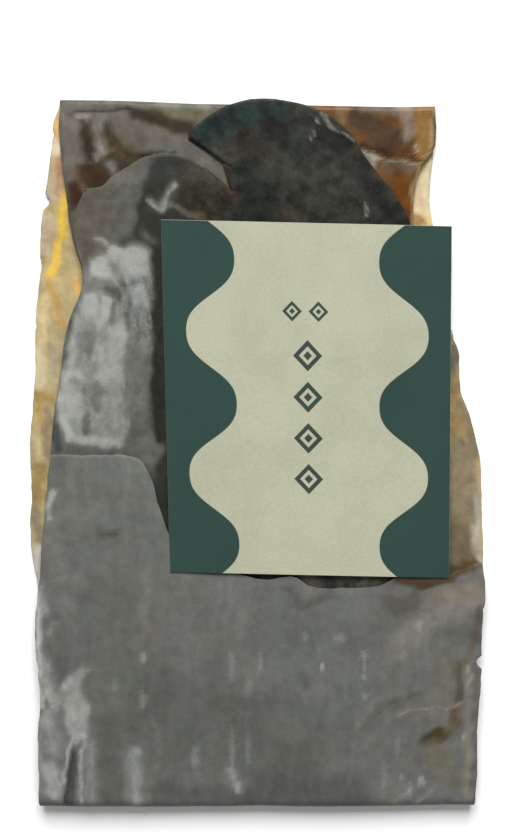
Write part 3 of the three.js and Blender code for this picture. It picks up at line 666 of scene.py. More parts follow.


# Stains of each face, with a few places of painted light and painted shade: path, half width,
# softness, colour as it is to look, strength.
STAINS_AND_PAINTED_SHADING = {
    "front": [
        ([(-90, 5), (-49, 7)], 7, 4, (112, 114, 107), 0.95),
        ([(-66, 122), (-70, 104), (-74, 86)], 13, 8, (110, 106, 96), 0.95),
        ([(-52, 134), (-58, 118), (-60, 104)], 6, 5, (104, 105, 98), 0.9),
        ([(-48, 134), (-42, 134)], 2, 3, (100, 99, 93), 0.7),
        ([(-41, 132), (-31, 129)], 4, 3.5, (61, 66, 61), 0.95),
        ([(-31, 125), (-18, 121), (-22, 113)], 7, 5, (66, 62, 52), 0.95),
        ([(-14.5, 137), (-12.5, 127), (-11, 116)], 1.8, 2.2, (72, 57, 51), 0.7),
        ([(-49, 113), (-48.5, 99), (-57, 97.5)], 3.6, 2.2, (58, 63, 55), 0.95),
        ([(-38, 115.5), (-32, 112), (-24, 110)], 1.7, 1.5, (116, 107, 94), 0.75),
        ([(-76, 92), (-72, 80)], 3.0, 2.5, (94, 92, 85), 0.85),
        ([(-84, 18), (-84, 36), (-79, 58), (-72, 70), (-68, 86), (-54, 92)], 7, 6, (134, 136, 129), 0.9),
        ([(-66, 62), (-66, 20)], 10, 8, (122, 124, 116), 0.9),
        ([(-54, 50), (-53, 14)], 5, 6, (112, 115, 106), 0.85),
        ([(-66, 80), (-61.5, 75.5)], 1.6, 2.0, (84, 86, 78), 0.8),
        ([(-44.5, 97), (-44.5, 11)], 2.2, 2.0, (54, 56, 47), 0.95),
        ([(-47.5, 62), (-47, 50)], 1.6, 2.0, (74, 76, 58), 0.7),
        ([(-90, 17), (-88.5, 7)], 1.6, 1.4, (84, 88, 88), 0.9),
        # Painted light: a paler colour in the shaded gap under the card's lower edge.
        ([(20, -54), (60, -54)], 3.0, 3.0, (150, 140, 128), 0.9),
        ([(-22, 147), (-12, 152), (6, 154)], 6, 7, (46, 60, 57), 0.8),
        # Painted light: a pale line along the right lobe's lower-left rim, where its shadow falls.
        ([(-29, 143), (-21, 138.5), (-13, 132.5)], 0.9, 1.6, (84, 87, 80), 0.85),
        ([(-6, 142), (2, 134)], 6, 7, (54, 50, 45), 0.7),
        ([(4, 150), (12, 143)], 4, 5, (46, 43, 43), 0.8),
        ([(14, 148), (18, 138)], 4, 5, (54, 58, 54), 0.8),
        ([(8, 128), (26, 126), (36, 118)], 8, 8, (65, 66, 58), 0.8),
        ([(-6, 127), (2, 116), (-4, 110)], 7, 6, (42, 48, 43), 0.85),
        ([(10, 111), (18, 110)], 3, 4, (72, 64, 52), 0.6),
        ([(27, 146), (36, 139)], 4, 4, (47, 47, 41), 0.85),
        ([(46, 128), (54, 116), (60, 109)], 3.4, 4, (45, 43, 38), 0.8),
        ([(41, 124), (43, 118)], 2.4, 3, (70, 66, 60), 0.7),
    ],
    "inner": [
        ([(-84, 156.8), (-57, 156.8)], 1.8, 1.5, (124, 116, 106), 0.9),
        ([(-57, 156.8), (-22, 155.6)], 1.1, 1.0, (122, 124, 110), 0.9),
        ([(-46, 154.2), (-18, 152)], 2.0, 1.4, (120, 113, 94), 0.9),
        ([(-81, 151), (-80, 142), (-80, 134), (-82, 126)], 4.2, 2.5, (119, 115, 106), 0.9),
        ([(-76.5, 152.4), (-73.5, 151.2)], 1.4, 1.6, (136, 131, 119), 0.8),
        ([(-80.6, 152.6), (-80.2, 152)], 0.8, 1.4, (84, 80, 72), 0.7),
        ([(-69.5, 149), (-69, 144), (-69.5, 136)], 1.4, 1.2, (126, 124, 114), 0.85),
        ([(-62, 147), (-60, 138), (-50, 134)], 5, 3, (114, 110, 90), 0.9),
        ([(-61.5, 139), (-59, 136.5)], 2.0, 2.0, (150, 138, 116), 0.8),
        ([(-64, 135.5), (-62, 134)], 1.4, 1.4, (98, 112, 92), 0.7),
        ([(-75, 127), (-66, 124)], 5, 3, (116, 100, 87), 0.95),
        ([(-72.5, 130), (-70, 126)], 1.6, 2.4, (112, 79, 66), 0.65),
        ([(-80, 121), (-78, 115)], 4, 2.5, (114, 94, 82), 0.9),
        ([(-78.5, 121), (-77.5, 117)], 1.4, 2.0, (118, 78, 66), 0.7),
        ([(-77, 121.8), (-76, 121.2)], 1.1, 1.2, (150, 118, 106), 0.85),
        ([(-65, 151.5), (-55, 147.5), (-45, 142.5), (-34, 140.5), (-24, 136.5), (-16, 129)], 5.6, 2.0,
         (112, 108, 99), 0.95),
        ([(-40, 140.5), (-26, 138.5)], 3, 2.5, (98, 99, 94), 0.7),
        ([(30, 140), (76, 140), (76, 100)], 26, 20, (112, 82, 50), 1.0),
        ([(35, 154.5), (41.5, 150.5)], 3.2, 2.4, (131, 110, 79), 0.9),
        ([(38.5, 148.5), (42, 145)], 1.6, 1.8, (112, 86, 62), 0.8),
        ([(43.5, 150.5), (50, 146), (58, 141.5)], 4.8, 2.8, (83, 67, 53), 0.95),
        ([(46, 154.6), (59, 154.6)], 1.8, 2.4, (118, 106, 96), 0.85),
        ([(62.5, 156), (64, 145)], 3.2, 2.6, (151, 134, 120), 0.9),
        ([(70.6, 156), (71.4, 136)], 3.4, 2.2, (151, 117, 70), 0.95),
        ([(75.2, 156), (75.4, 138)], 0.8, 1.0, (172, 152, 120), 0.8),
        ([(44.5, 139.4), (57, 137.6)], 1.6, 1.6, (72, 54, 38), 0.9),
        ([(59.5, 138.2), (66, 136.6)], 1.8, 1.6, (98, 62, 32), 0.85),
        # Painted highlight: the pale triangle below the inner panel's crease, with the glint drift there.
        ([(45.5, 135.8), (49.8, 135.8)], 1.3, 1.2, (142, 139, 118), 0.9),
        ([(48, 134), (48.4, 131.5)], 1.0, 1.2, (134, 131, 110), 0.9),
        ([(53, 132.6), (66, 131.2)], 1.6, 1.6, (112, 101, 84), 0.9),
        ([(54, 129.5), (64, 128.5)], 2.0, 2.0, (110, 88, 68), 0.9),
        ([(60.5, 126), (62.5, 117), (65.5, 107)], 3.2, 2.2, (117, 74, 36), 0.95),
        ([(69.2, 131.5), (67.6, 122), (67.4, 107)], 0.8, 1.2, (190, 158, 116), 0.85),
        ([(73, 136), (74, 133)], 1.6, 1.4, (178, 150, 118), 0.8),
    ],
    "margins": [
        ([(-86, 158), (-86.5, 152)], 2.2, 1.8, (206, 188, 154), 0.9),
        ([(-87, 150.5), (-87, 145.5)], 2.6, 1.6, (206, 173, 114), 0.92),
        ([(-88, 141.5), (-88.4, 138)], 2.2, 1.6, (226, 213, 188), 0.9),
        ([(-86, 134), (-86.2, 119)], 2.0, 1.8, (166, 130, 103), 0.9),
        ([(-90.6, 133), (-91, 121)], 1.6, 1.6, (174, 163, 138), 0.85),
        ([(-86.5, 118.4), (-86, 116.6)], 1.2, 1.2, (210, 170, 140), 0.8),
        ([(-91, 111), (-93.6, 94)], 2.2, 1.6, (180, 165, 141), 0.9),
        ([(-81.5, 104), (-80, 92), (-82, 84)], 3.0, 2.4, (181, 163, 122), 0.9),
        ([(-79, 82), (-79, 76)], 1.4, 1.8, (206, 166, 98), 0.85),
        ([(-92.6, 80.5), (-90, 75), (-88, 69.5), (-86, 61)], 1.3, 1.8, (190, 153, 92), 0.9),
        ([(-95, 72), (-95.5, 55)], 2.8, 2.6, (206, 188, 144), 0.85),
        ([(-96, 50), (-97, 36)], 3.0, 2.6, (208, 196, 160), 0.85),
        ([(-89, 56), (-91, 38)], 2.0, 2.2, (176, 168, 138), 0.8),
        ([(-99, 30), (-91, 29)], 2.0, 2.0, (160, 134, 84), 0.92),
        ([(-98, 26), (-98, 18)], 1.6, 1.6, (166, 142, 88), 0.85),
        ([(-93.5, 24), (-93.5, 12)], 2.2, 2.0, (146, 131, 104), 0.9),
        ([(-99.2, 13), (-98.6, 5)], 2.0, 1.6, (192, 178, 134), 0.85),
        ([(-94, 8), (-94, 3)], 2.4, 2.0, (148, 135, 108), 0.9),
        ([(-98, -2), (-99, -18)], 2.6, 2.2, (154, 132, 86), 0.9),
        ([(-99.5, -22), (-100, -38)], 2.6, 2.2, (140, 128, 106), 0.9),
        ([(-100.5, -40), (-101, -112)], 2.4, 2.4, (186, 184, 176), 0.9),
        ([(-100.5, -118), (-101.5, -156)], 2.4, 2.4, (148, 147, 142), 0.9),
        ([(72, 130), (71.5, 112)], 5.0, 3.0, (226, 211, 172), 0.92),
        ([(69.5, 121), (69.5, 116)], 1.2, 1.8, (216, 180, 152), 0.7),
        ([(68.5, 110), (71, 105)], 2.4, 2.2, (158, 118, 68), 0.85),
        ([(74.6, 114), (75, 104)], 1.2, 1.6, (234, 212, 146), 0.8),
        ([(88, 54), (87, 42)], 2.6, 1.6, (104, 99, 89), 0.95),
        ([(87.5, 38), (88.5, 24), (90, 12)], 3.0, 2.2, (142, 124, 88), 0.95),
        ([(92, 26), (98, 4)], 2.4, 2.4, (124, 112, 90), 0.85),
        ([(91, 9), (95, 2)], 2.6, 2.4, (118, 105, 82), 0.8),
        ([(90, 1), (92, -52)], 8.0, 5.0, (132, 121, 99), 0.95),
        ([(89, -34), (92, -54)], 7.0, 5.0, (108, 98, 79), 0.9),
        ([(99, -16), (101, -52)], 1.5, 1.6, (172, 170, 157), 0.85),
        ([(84, -50.4), (99, -47.4)], 2.0, 1.8, (78, 64, 44), 0.9),
    ],
    "flap": [
        ([(-78, 3), (-50, -30)], 24, 22, (107, 110, 104), 0.9),
        ([(-60, -70), (-60, -105)], 20, 22, (98, 100, 94), 0.9),
        ([(-30, -60), (-5, -100)], 16, 18, (106, 107, 103), 0.8),
        ([(-40, -120), (10, -128)], 22, 18, (94, 96, 91), 0.9),
        ([(18, -66), (20, -110)], 10, 12, (101, 104, 100), 0.8),
        ([(40, -64), (46, -118)], 12, 12, (102, 105, 101), 0.8),
        ([(8, -66), (12, -90)], 6, 8, (98, 102, 99), 0.6),
        ([(-90, -72), (-90, -98)], 6, 7, (95, 96, 91), 0.8),
        ([(-68, -120), (-68, -154)], 5, 9, (88, 89, 83), 0.75),
        # Painted shade: the flap is darker towards the wrap fold, where it curls away.
        ([(6, -151), (42, -153)], 8, 13, (85, 85, 83), 0.8),
        ([(-44, -153), (-4, -155)], 4.5, 8, (86, 86, 83), 0.75),
        ([(-88, 0), (-84, -18)], 3, 4, (112, 113, 106), 0.7),
        ([(-88, -8), (-88, 3)], 2.4, 3, (98, 98, 91), 0.7),
        ([(-92, -30), (-90, -48)], 5, 5, (116, 116, 110), 0.7),
        ([(-71, -31.5), (-65, -30.5)], 1.8, 3, (86, 87, 80), 0.75),
        ([(-50.5, -48), (-50.5, -76)], 2.4, 3, (114, 114, 106), 0.7),
        ([(-99.8, -46), (-99.2, -112)], 1.4, 1.6, (182, 182, 175), 0.85),
        ([(-99.5, -118), (-100.5, -156)], 1.2, 2, (140, 140, 136), 0.7),
        ([(-96, -100), (-93, -112)], 2.2, 2.4, (140, 141, 137), 0.75),
        ([(-84, -101), (-83, -112), (-82, -124)], 4.6, 5, (124, 125, 122), 0.8),
        ([(-94, -120), (-93, -133)], 4, 4, (113, 113, 111), 0.7),
        ([(-95, -142), (-93, -154)], 4.5, 5, (122, 122, 119), 0.8),
        ([(-84, -135), (-86, -146), (-86.5, -160)], 2.4, 1.6, (80, 80, 77), 0.95),
        ([(-77.5, -130), (-77.5, -160)], 2.6, 2.4, (113, 114, 110), 0.75),
        ([(-56.5, -134), (-56.5, -160)], 3.4, 4, (116, 117, 114), 0.8),
        ([(-52.4, -87), (-52, -90)], 1.6, 2, (126, 125, 120), 0.8),
        ([(-53, -107), (-53, -111)], 1.4, 2.2, (121, 119, 114), 0.75),
        ([(-65.5, -99), (-65.5, -103)], 1.2, 2, (114, 115, 111), 0.75),
        ([(-29, -133), (-29, -139)], 1.6, 2.6, (116, 116, 115), 0.75),
        ([(-30, -144), (-30, -149)], 1.2, 2, (106, 106, 105), 0.7),
        ([(-14, -142), (-9, -153)], 1.6, 2.4, (122, 126, 128), 0.8),
        ([(-12, -88), (-12, -98)], 1.6, 2.6, (113, 116, 114), 0.7),
        ([(1, -86), (0, -96), (-6, -106)], 1.4, 2.4, (112, 114, 111), 0.7),
        ([(13, -58), (20, -64)], 2.0, 3, (88, 87, 82), 0.85),
        ([(20, -64), (32, -58.5)], 2.2, 3, (90, 89, 84), 0.85),
        ([(20, -97), (22, -101)], 2.0, 2.6, (88, 89, 84), 0.75),
        ([(22, -112), (26, -94)], 1.0, 2.4, (110, 110, 106), 0.5),
        # Painted sheen: a pale diagonal band across the flap's right side.
        ([(100, -61), (86, -67), (74, -73), (65, -83)], 5.4, 7, (129, 126, 120), 0.88),
        ([(64, -84), (55, -94)], 4, 6, (112, 112, 108), 0.7),
        ([(83, -58), (99, -57)], 3.5, 4, (128, 122, 110), 0.85),
        ([(59, -61), (62, -66), (70, -60)], 3.6, 3.5, (93, 89, 82), 0.85),
        ([(73, -67), (80, -63)], 3.0, 4.0, (117, 115, 108), 0.7),
        ([(63, -52), (75, -53.6), (86, -50)], 2.4, 2, (76, 61, 43), 0.92),
        ([(86, -49), (97, -47)], 2.0, 2.4, (88, 74, 54), 0.88),
        ([(99.8, -65), (99.2, -80)], 1.6, 2.2, (94, 87, 78), 0.8),
        ([(97.5, -82), (95, -92)], 1.8, 2.2, (104, 94, 80), 0.7),
        ([(84, -94), (84, -106)], 5, 5, (109, 107, 93), 0.75),
        ([(91, -92), (91.5, -108)], 1.8, 2, (86, 80, 68), 0.85),
        # Painted glint: a pale bar along the crease at the flap's right.
        ([(95, -93), (95.8, -109)], 1.0, 1.6, (136, 134, 122), 0.85),
        ([(99, -94), (99, -108)], 1.2, 1.8, (95, 86, 75), 0.8),
        ([(47, -121), (52, -112), (60, -106)], 1.6, 2.6, (114, 114, 109), 0.7),
        ([(50, -122), (56, -114), (65, -110), (72, -108)], 3.0, 3.2, (94, 95, 87), 0.85),
        ([(62, -118), (72, -114), (88, -113.5)], 1.4, 2.4, (116, 114, 104), 0.75),
        ([(91.4, -110.6), (90.6, -111.2)], 1.2, 1.6, (136, 114, 98), 0.85),
        ([(90.5, -113), (90, -121)], 2.2, 2.4, (92, 80, 64), 0.85),
        ([(78, -128.5), (83, -126)], 3.8, 2.6, (68, 63, 42), 0.95),
        ([(87, -124), (90, -121)], 2.2, 2.6, (92, 87, 67), 0.8),
        ([(80, -134), (90, -146)], 6, 7, (107, 104, 91), 0.75),
        ([(12, -118), (18, -124)], 6, 8, (104, 106, 101), 0.7),
        ([(96.6, -112), (96.8, -156)], 1.8, 2.2, (124, 120, 110), 0.8),
        ([(100, -112), (99.6, -156)], 1.0, 1.6, (94, 92, 85), 0.75),
        ([(61, -140), (57, -153)], 2.0, 2.8, (115, 114, 109), 0.75),
        ([(63, -158), (70, -152)], 1.4, 2.4, (116, 116, 112), 0.7),
        ([(72, -160), (80, -152)], 1.6, 2.4, (120, 120, 116), 0.75),
    ],
    "rear": [
        ([(-110, 158), (-110, -158)], 14, 9, (150, 128, 90), 0.75),
        ([(110, 158), (110, -158)], 14, 9, (148, 126, 90), 0.75),
        ([(-60, 120), (-30, 20), (-50, -90)], 24, 26, (112, 112, 104), 0.6),
        ([(50, 90), (30, -20), (60, -120)], 22, 24, (84, 84, 74), 0.6),
        ([(0, 150), (10, 60)], 16, 18, (98, 96, 86), 0.5),
    ],
}
GROUND = {
    "front": (60, 62, 56), "margins": (182, 164, 122), "inner": (106, 101, 91), "flap": (105, 106, 102),
    "rear": (98, 97, 88),
}
UNSEEN = (92, 90, 80)

tint = np.tile(albedo(UNSEEN), (2, len(x), 1))
for face, stains in STAINS_AND_PAINTED_SHADING.items():
    face_panel, side = FACE_OF[face]
    here = panel == face_panel
    tint[side, here] = albedo(GROUND[face], LIGHT_SHARE[face])
    for path, half_width, softness, seen, strength in stains:
        gap = gap_to(path, mark_x[here], mark_y[here])
        cover = strength * ease(0.5 + (half_width - gap) / softness)
        tint[side, here] = lerp(tint[side, here], albedo(seen, LIGHT_SHARE[face]), cover[:, None])

# Mottling is strong on the dark right lobe and weak on the flap.
LOBE_MOTTLING, FRONT_MOTTLING, MARGIN_MOTTLING = 0.5, 0.16, 0.13
FLAP_MOTTLING, INNER_MOTTLING = 0.085, 0.16
LOBE_MOTTLING_X = -20
LOBE_MOTTLING_REACH = 20
from_lobe = ease((LOBE_MOTTLING_X - x) / LOBE_MOTTLING_REACH)
mottling = np.stack([
    on_face("front", lerp(LOBE_MOTTLING, FRONT_MOTTLING, from_lobe), MARGIN_MOTTLING),
    on_face("flap", FLAP_MOTTLING, INNER_MOTTLING),
])

# Blade is amber by how far its red outdoes its blue.
AMBER_FROM = 1.25
AMBER_RANGE = 0.12
amber = np.clip((tint[..., 0] - AMBER_FROM * tint[..., 2]) / AMBER_RANGE, 0, 1)

half_above = half + relief[0]
half_below = half + relief[1]
RIM_BULGE = 0.7
# Painted shade on the rim walls: their colour is this share of the mean of the two faces'.
RIM_PAINTED_SHADE = 0.85
leaf_points, leaf_faces, rim = thickened(sheet[:, :3], sheet_triangles, half_above, half_below, RIM_BULGE)
leaf_points[:, 2] -= leaf_points[:, 2].min() + PRESSED_FLAT
leaf_points[:, 2] = np.maximum(leaf_points[:, 2], 0)


def new_piece(name, points, faces):
    """A mesh piece of the object, from points in mm and faces, smooth shaded."""
    mesh = bpy.data.meshes.new(name)
    mesh.from_pydata((points * MM).tolist(), [], faces.tolist())
    mesh.update()
    mesh.shade_smooth()
    piece = bpy.data.objects.new(name, mesh)
    bpy.context.scene.collection.objects.link(piece)
    return piece


def mark(piece, name, values):
    """Stores a value or a linear colour at every point of a piece."""
    coloured = values.ndim == 2
    layer = piece.data.attributes.new(name, "FLOAT_COLOR" if coloured else "FLOAT", "POINT")
    if coloured:
        values = np.column_stack([values, np.ones(len(values))])
    layer.data.foreach_set("color" if coloured else "value", values.astype(np.float32).ravel())


def over_solid(values, rim_share=1.0):
    """Values of the two faces and, by a share of their mean, of the rim between them, in the
    order of the solid's points."""
    return np.concatenate([values[0], values[1], rim_share * values[:, rim].mean(0)])


leaf = new_piece("kelp_leaf_blade", leaf_points, leaf_faces)
mark(leaf, "tint", over_solid(tint, RIM_PAINTED_SHADE))
for name, values in (
    ("meal", meal), ("glint_gap", glint_gap), ("dark_gap", dark_gap), ("dark_patch", dark_patch),
    ("amber_patch", amber_patch), ("mottling", mottling), ("amber", amber),
):
    mark(leaf, name, over_solid(values))


# ---- The leaf: its surface --------------------------------------------------------------------
# Matt, leathery dried blade: its own stain colours, mottled at three sizes and streaked along
# its length, dusted with mealy bloom that breaks up into grains at its edges, with painted glints
# on its crinkles and painted shade in its grooves.

def feed_inputs(tree, sockets, feeds):
    """Gives each input socket its feed: a socket to link, a value to set, or None."""
    for socket, feed in zip(sockets, feeds):
        if isinstance(feed, bpy.types.NodeSocket):
            tree.links.new(feed, socket)
        elif feed is not None:
            socket.default_value = feed


def add(tree, kind, feeds=(), **settings):
    """Adds a node with its settings and the feeds of its inputs, in order."""
    made = tree.nodes.new("ShaderNode" + kind)
    for name, value in settings.items():
        setattr(made, name, value)
    feed_inputs(tree, made.inputs, feeds)
    return made


def maths(tree, operation, *feeds):
    """The result of one sum on one, two or three numbers or sockets."""
    return add(tree, "Math", feeds, operation=operation).outputs[0]


def between(tree, value, low, high, at_low=0.0, at_high=1.0):
    """at_low below low, at_high above high, and a smooth step between."""
    feeds = (value, low, high, at_low, at_high)
    return add(tree, "MapRange", feeds, interpolation_type="SMOOTHSTEP").outputs[0]


def noise(tree, vector, size, detail=2.0, roughness=0.5):
    """Cloudy noise about 0.5, with lumps of that size in the vector's own unit."""
    return add(tree, "TexNoise", (vector, None, 1 / size, detail, roughness)).outputs["Fac"]


def wandering(tree, vector, size, reach, detail=3.0, roughness=0.5):
    """The same noise about 0, and at most that reach away from it."""
    cloud = noise(tree, vector, size, detail, roughness)
    return maths(tree, "MULTIPLY_ADD", cloud, 2 * reach, -reach)


def colour_mix(tree, factor, a, b, blend="MIX"):
    """Colour a towards colour b by a factor, either as a mix or as another blend."""
    mixed = add(tree, "Mix", data_type="RGBA", blend_type=blend)
    feed_inputs(tree, [mixed.inputs[number] for number in (0, 6, 7)], (factor, a, b))
    return mixed.outputs[2]


def times(tree, colour, tone):
    """A colour made darker or lighter by a tone."""
    grey = add(tree, "CombineXYZ", (tone, tone, tone)).outputs[0]
    return colour_mix(tree, 1.0, colour, grey, "MULTIPLY")


def vector_maths(tree, operation, *feeds):
    """The result of one sum on one or two vectors, values or sockets."""
    return add(tree, "VectorMath", feeds, operation=operation).outputs[0]


def attribute(tree, name, output="Fac"):
    """Reads a value or a colour that is stored at the points of the piece."""
    return add(tree, "Attribute", attribute_name=name).outputs[output]


def in_mm(tree):
    """Where a point of the surface lies, in mm."""
    return vector_maths(tree, "MULTIPLY", add(tree, "TexCoord").outputs["Object"], (1 / MM,) * 3)


def turned(tree, place, turn):
    """The same place seen from axes turned about the origin, so that noise lines up with no
    edge."""
    return add(tree, "VectorRotate", (place, None, None, None, turn), rotation_type="EULER_XYZ").outputs[0]


def relief_normal(tree, height, shader):
    """Feeds the shader's normal from a height in mm."""
    bump = add(tree, "Bump")
    bump.inputs["Distance"].default_value = MM
    tree.links.new(height, bump.inputs["Height"])
    tree.links.new(bump.outputs[0], shader.inputs["Normal"])


# Unevenness of tone that the dried blade and the paper card share: a factor about 1, from the
# middle part of a cloudy noise.
CLOUD_MIDDLE = (0.32, 0.68)
uneven = bpy.data.node_groups.new("uneven_tone", "ShaderNodeTree")
uneven.interface.new_socket("Place", in_out="INPUT", socket_type="NodeSocketVector")
uneven.interface.new_socket("Grain size", in_out="INPUT", socket_type="NodeSocketFloat")
uneven.interface.new_socket("Amount", in_out="INPUT", socket_type="NodeSocketFloat")
uneven.interface.new_socket("Factor", in_out="OUTPUT", socket_type="NodeSocketFloat")
entry = uneven.nodes.new("NodeGroupInput")
leave = uneven.nodes.new("NodeGroupOutput")
per_mm = maths(uneven, "DIVIDE", 1.0, entry.outputs[1])
cloud = add(uneven, "TexNoise", (entry.outputs[0], None, per_mm, 2.0, 0.5)).outputs["Fac"]
swing = add(uneven, "MapRange", (cloud, *CLOUD_MIDDLE, -1.0, 1.0)).outputs[0]
factor = maths(uneven, "MULTIPLY_ADD", swing, entry.outputs[2], 1.0)
uneven.links.new(factor, leave.inputs[0])


def uneven_tone(tree, place, size, amount):
    """The shared unevenness, placed in a material with its own grain size and amount."""
    return add(tree, "Group", (place, size, amount), node_tree=uneven).outputs[0]


def new_material(name, roughness, specular):
    """A material with its surface shader, whose plain values are set here. Gives its node tree
    and the shader."""
    material = bpy.data.materials.new(name)
    material.use_nodes = True
    shader = material.node_tree.nodes["Principled BSDF"]
    shader.inputs["Roughness"].default_value = roughness
    shader.inputs["Specular IOR Level"].default_value = specular
    return material, material.node_tree, shader


MEAL_AND_GLINT_COLOUR = (*albedo((190, 193, 186)), 1.0)
CREASE_GLINT_COLOUR = (*albedo((188, 187, 179)), 1.0)
DUST_COLOUR = (*albedo((150, 152, 146)), 1.0)
THIN_DARK = (0.36, 0.32, 0.25, 1.0)
THIN_AMBER = (*albedo((216, 181, 78), LIGHT_SHARE["margins"]), 1.0)
WARM_CAST = (1.04, 1.0, 0.975, 1.0)
COOL_CAST = (0.99, 1.0, 1.0, 1.0)

# Small painted glints on the flap: centre, reach along x and y, strength. They reach only so far
# down from the flap's height that nothing below it is marked.
FLAP_TOP_Z = 11.0
FLAP_GLINT_DEPTH = 3.0
FLAP_GLINTS = [
    ((37, -79), (2.4, 2.2), 0.2), ((21.3, -78.5), (1.4, 2.6), 0.15), ((29.2, -92.5), (1.1, 2.4), 0.42),
    ((48, -87.5), (1.9, 2.4), 0.26), ((48.2, -92.5), (1.0, 3.0), 0.16), ((48.2, -97.5), (1.4, 1.6), 0.26),
    ((48.5, -107), (1.4, 2.0), 0.2), ((73, -73.5), (2.0, 2.4), 0.26), ((75, -148.2), (2.0, 2.8), 0.42),
    ((66, -146), (1.3, 1.8), 0.22), ((94.2, -127), (1.2, 2.0), 0.28), ((-52, -88.5), (1.4, 2.4), 0.16),
    ((-79.6, -125.5), (1.4, 1.6), 0.36), ((-10, -150.5), (1.4, 2.6), 0.26), ((64, -131), (1.3, 5.0), 0.14),
    ((-12, -91), (1.5, 7.0), 0.15), ((1.2, -90), (1.3, 5.0), 0.15), ((-4, -101), (1.6, 8.0), 0.1),
    ((-11.8, -136), (1.3, 13.0), 0.16), ((-4.5, -133), (1.4, 9.0), 0.12), ((-29, -137), (1.7, 6.0), 0.14),
    ((-53, -109), (1.4, 5.0), 0.12), ((58, -147), (1.6, 8.0), 0.12), ((70, -153), (1.3, 5.0), 0.14),
]

MATT = 0.56
kelp, tree, shader = new_material("dried_kelp", roughness=MATT, specular=0.16)

# Places that the noises read: turned, and for streaks swayed a little across the blade and
# drawn out along it.
PLACE_TURN = (0.5, 0.4, 0.6)
BLADE_TURN = (0.0, 0.5, 0.03)
SWAY = 8.0
SWAY_SIZE = 26.0
LONG_STREAKS = (1.0, 0.07, 1.0)
SHORT_STREAKS = (1.0, 0.5, 1.0)
flat_place = in_mm(tree)
place = turned(tree, flat_place, PLACE_TURN)
sway = wandering(tree, flat_place, SWAY_SIZE, SWAY, 2.0)
swayed = vector_maths(tree, "ADD", flat_place, add(tree, "CombineXYZ", (sway,)).outputs[0])
blade_place = turned(tree, swayed, BLADE_TURN)
lengthwise = vector_maths(tree, "MULTIPLY", blade_place, LONG_STREAKS)
streaky = vector_maths(tree, "MULTIPLY", blade_place, SHORT_STREAKS)

# Tone: mottled by the blade's own measure, grained, clouded, and streaked lengthwise.
TONE_LAYERS = [(place, 1.6, 0.03), (place, 18.0, 0.07), (lengthwise, 4.0, 0.075)]
tone = uneven_tone(tree, place, 5.0, attribute(tree, "mottling"))
for vector, size, amount in TONE_LAYERS:
    tone = maths(tree, "MULTIPLY", tone, uneven_tone(tree, vector, size, amount))

# Stains, then the patches of thin dark and thin amber blade, whose edges fray.
THIN_DARK_EDGE = (-1.6, 2.6)
THIN_AMBER_EDGE = (-1.6, 1.2)
AMBER_COVER = 0.92
base = attribute(tree, "tint", "Color")
frayed = wandering(tree, streaky, 2.4, 1.0)
dark_gap = maths(tree, "ADD", attribute(tree, "dark_patch"), frayed)
thin_dark = between(tree, dark_gap, *THIN_DARK_EDGE, 1.0, 0.0)
base = colour_mix(tree, thin_dark, base, colour_mix(tree, 1.0, base, THIN_DARK, "MULTIPLY"))
amber_gap = maths(tree, "MULTIPLY_ADD", frayed, 0.5, attribute(tree, "amber_patch"))
base = colour_mix(tree, between(tree, amber_gap, *THIN_AMBER_EDGE, AMBER_COVER, 0.0), base, THIN_AMBER)
base = times(tree, base, tone)

# Warm and cool patches drift across the grey.
WARM_FROM, WARM_TO = 0.35, 0.65
warm = between(tree, noise(tree, place, 13.0, 3.0), WARM_FROM, WARM_TO)
base = colour_mix(tree, 1.0, base, colour_mix(tree, warm, COOL_CAST, WARM_CAST), "MULTIPLY")

# Dust: fine grains, in drifts of their own.
DUST_COVER = 0.05
GRAIN_EDGE = (0.54, 0.7)
DRIFT_EDGE = (0.44, 0.62)
grains = between(tree, noise(tree, place, 0.8), *GRAIN_EDGE)
drifts = between(tree, noise(tree, place, 16.0), *DRIFT_EDGE)
dust = maths(tree, "MULTIPLY", maths(tree, "MULTIPLY", grains, drifts), DUST_COVER)
base = colour_mix(tree, dust, base, DUST_COLOUR)

# Meal, and the painted glints laid on with it: a thin veil all over its cover, and a lumpy, grainy
# crust where it lies thicker.
CLOUDINESS = 0.425
POWDERINESS = 0.2
CRUST_EDGE = (0.2, 1.1)
COVER_EDGE = (0.02, 0.35)
VEIL_COVER = 0.42
CRUST_COVER = 0.6
cover = attribute(tree, "meal")
cloudy = wandering(tree, streaky, 3.0, CLOUDINESS)
powder = wandering(tree, place, 0.9, POWDERINESS, 3.0, 0.6)
heaped = maths(tree, "ADD", maths(tree, "ADD", cover, cloudy), powder)
crust = maths(tree, "MULTIPLY", between(tree, heaped, *CRUST_EDGE), between(tree, cover, *COVER_EDGE))
veil = maths(tree, "MULTIPLY", cover, maths(tree, "ADD", powder, 0.7))
base = colour_mix(tree, maths(tree, "MULTIPLY", veil, VEIL_COVER), base, MEAL_AND_GLINT_COLOUR)
base = colour_mix(tree, maths(tree, "MULTIPLY", crust, CRUST_COVER), base, MEAL_AND_GLINT_COLOUR)

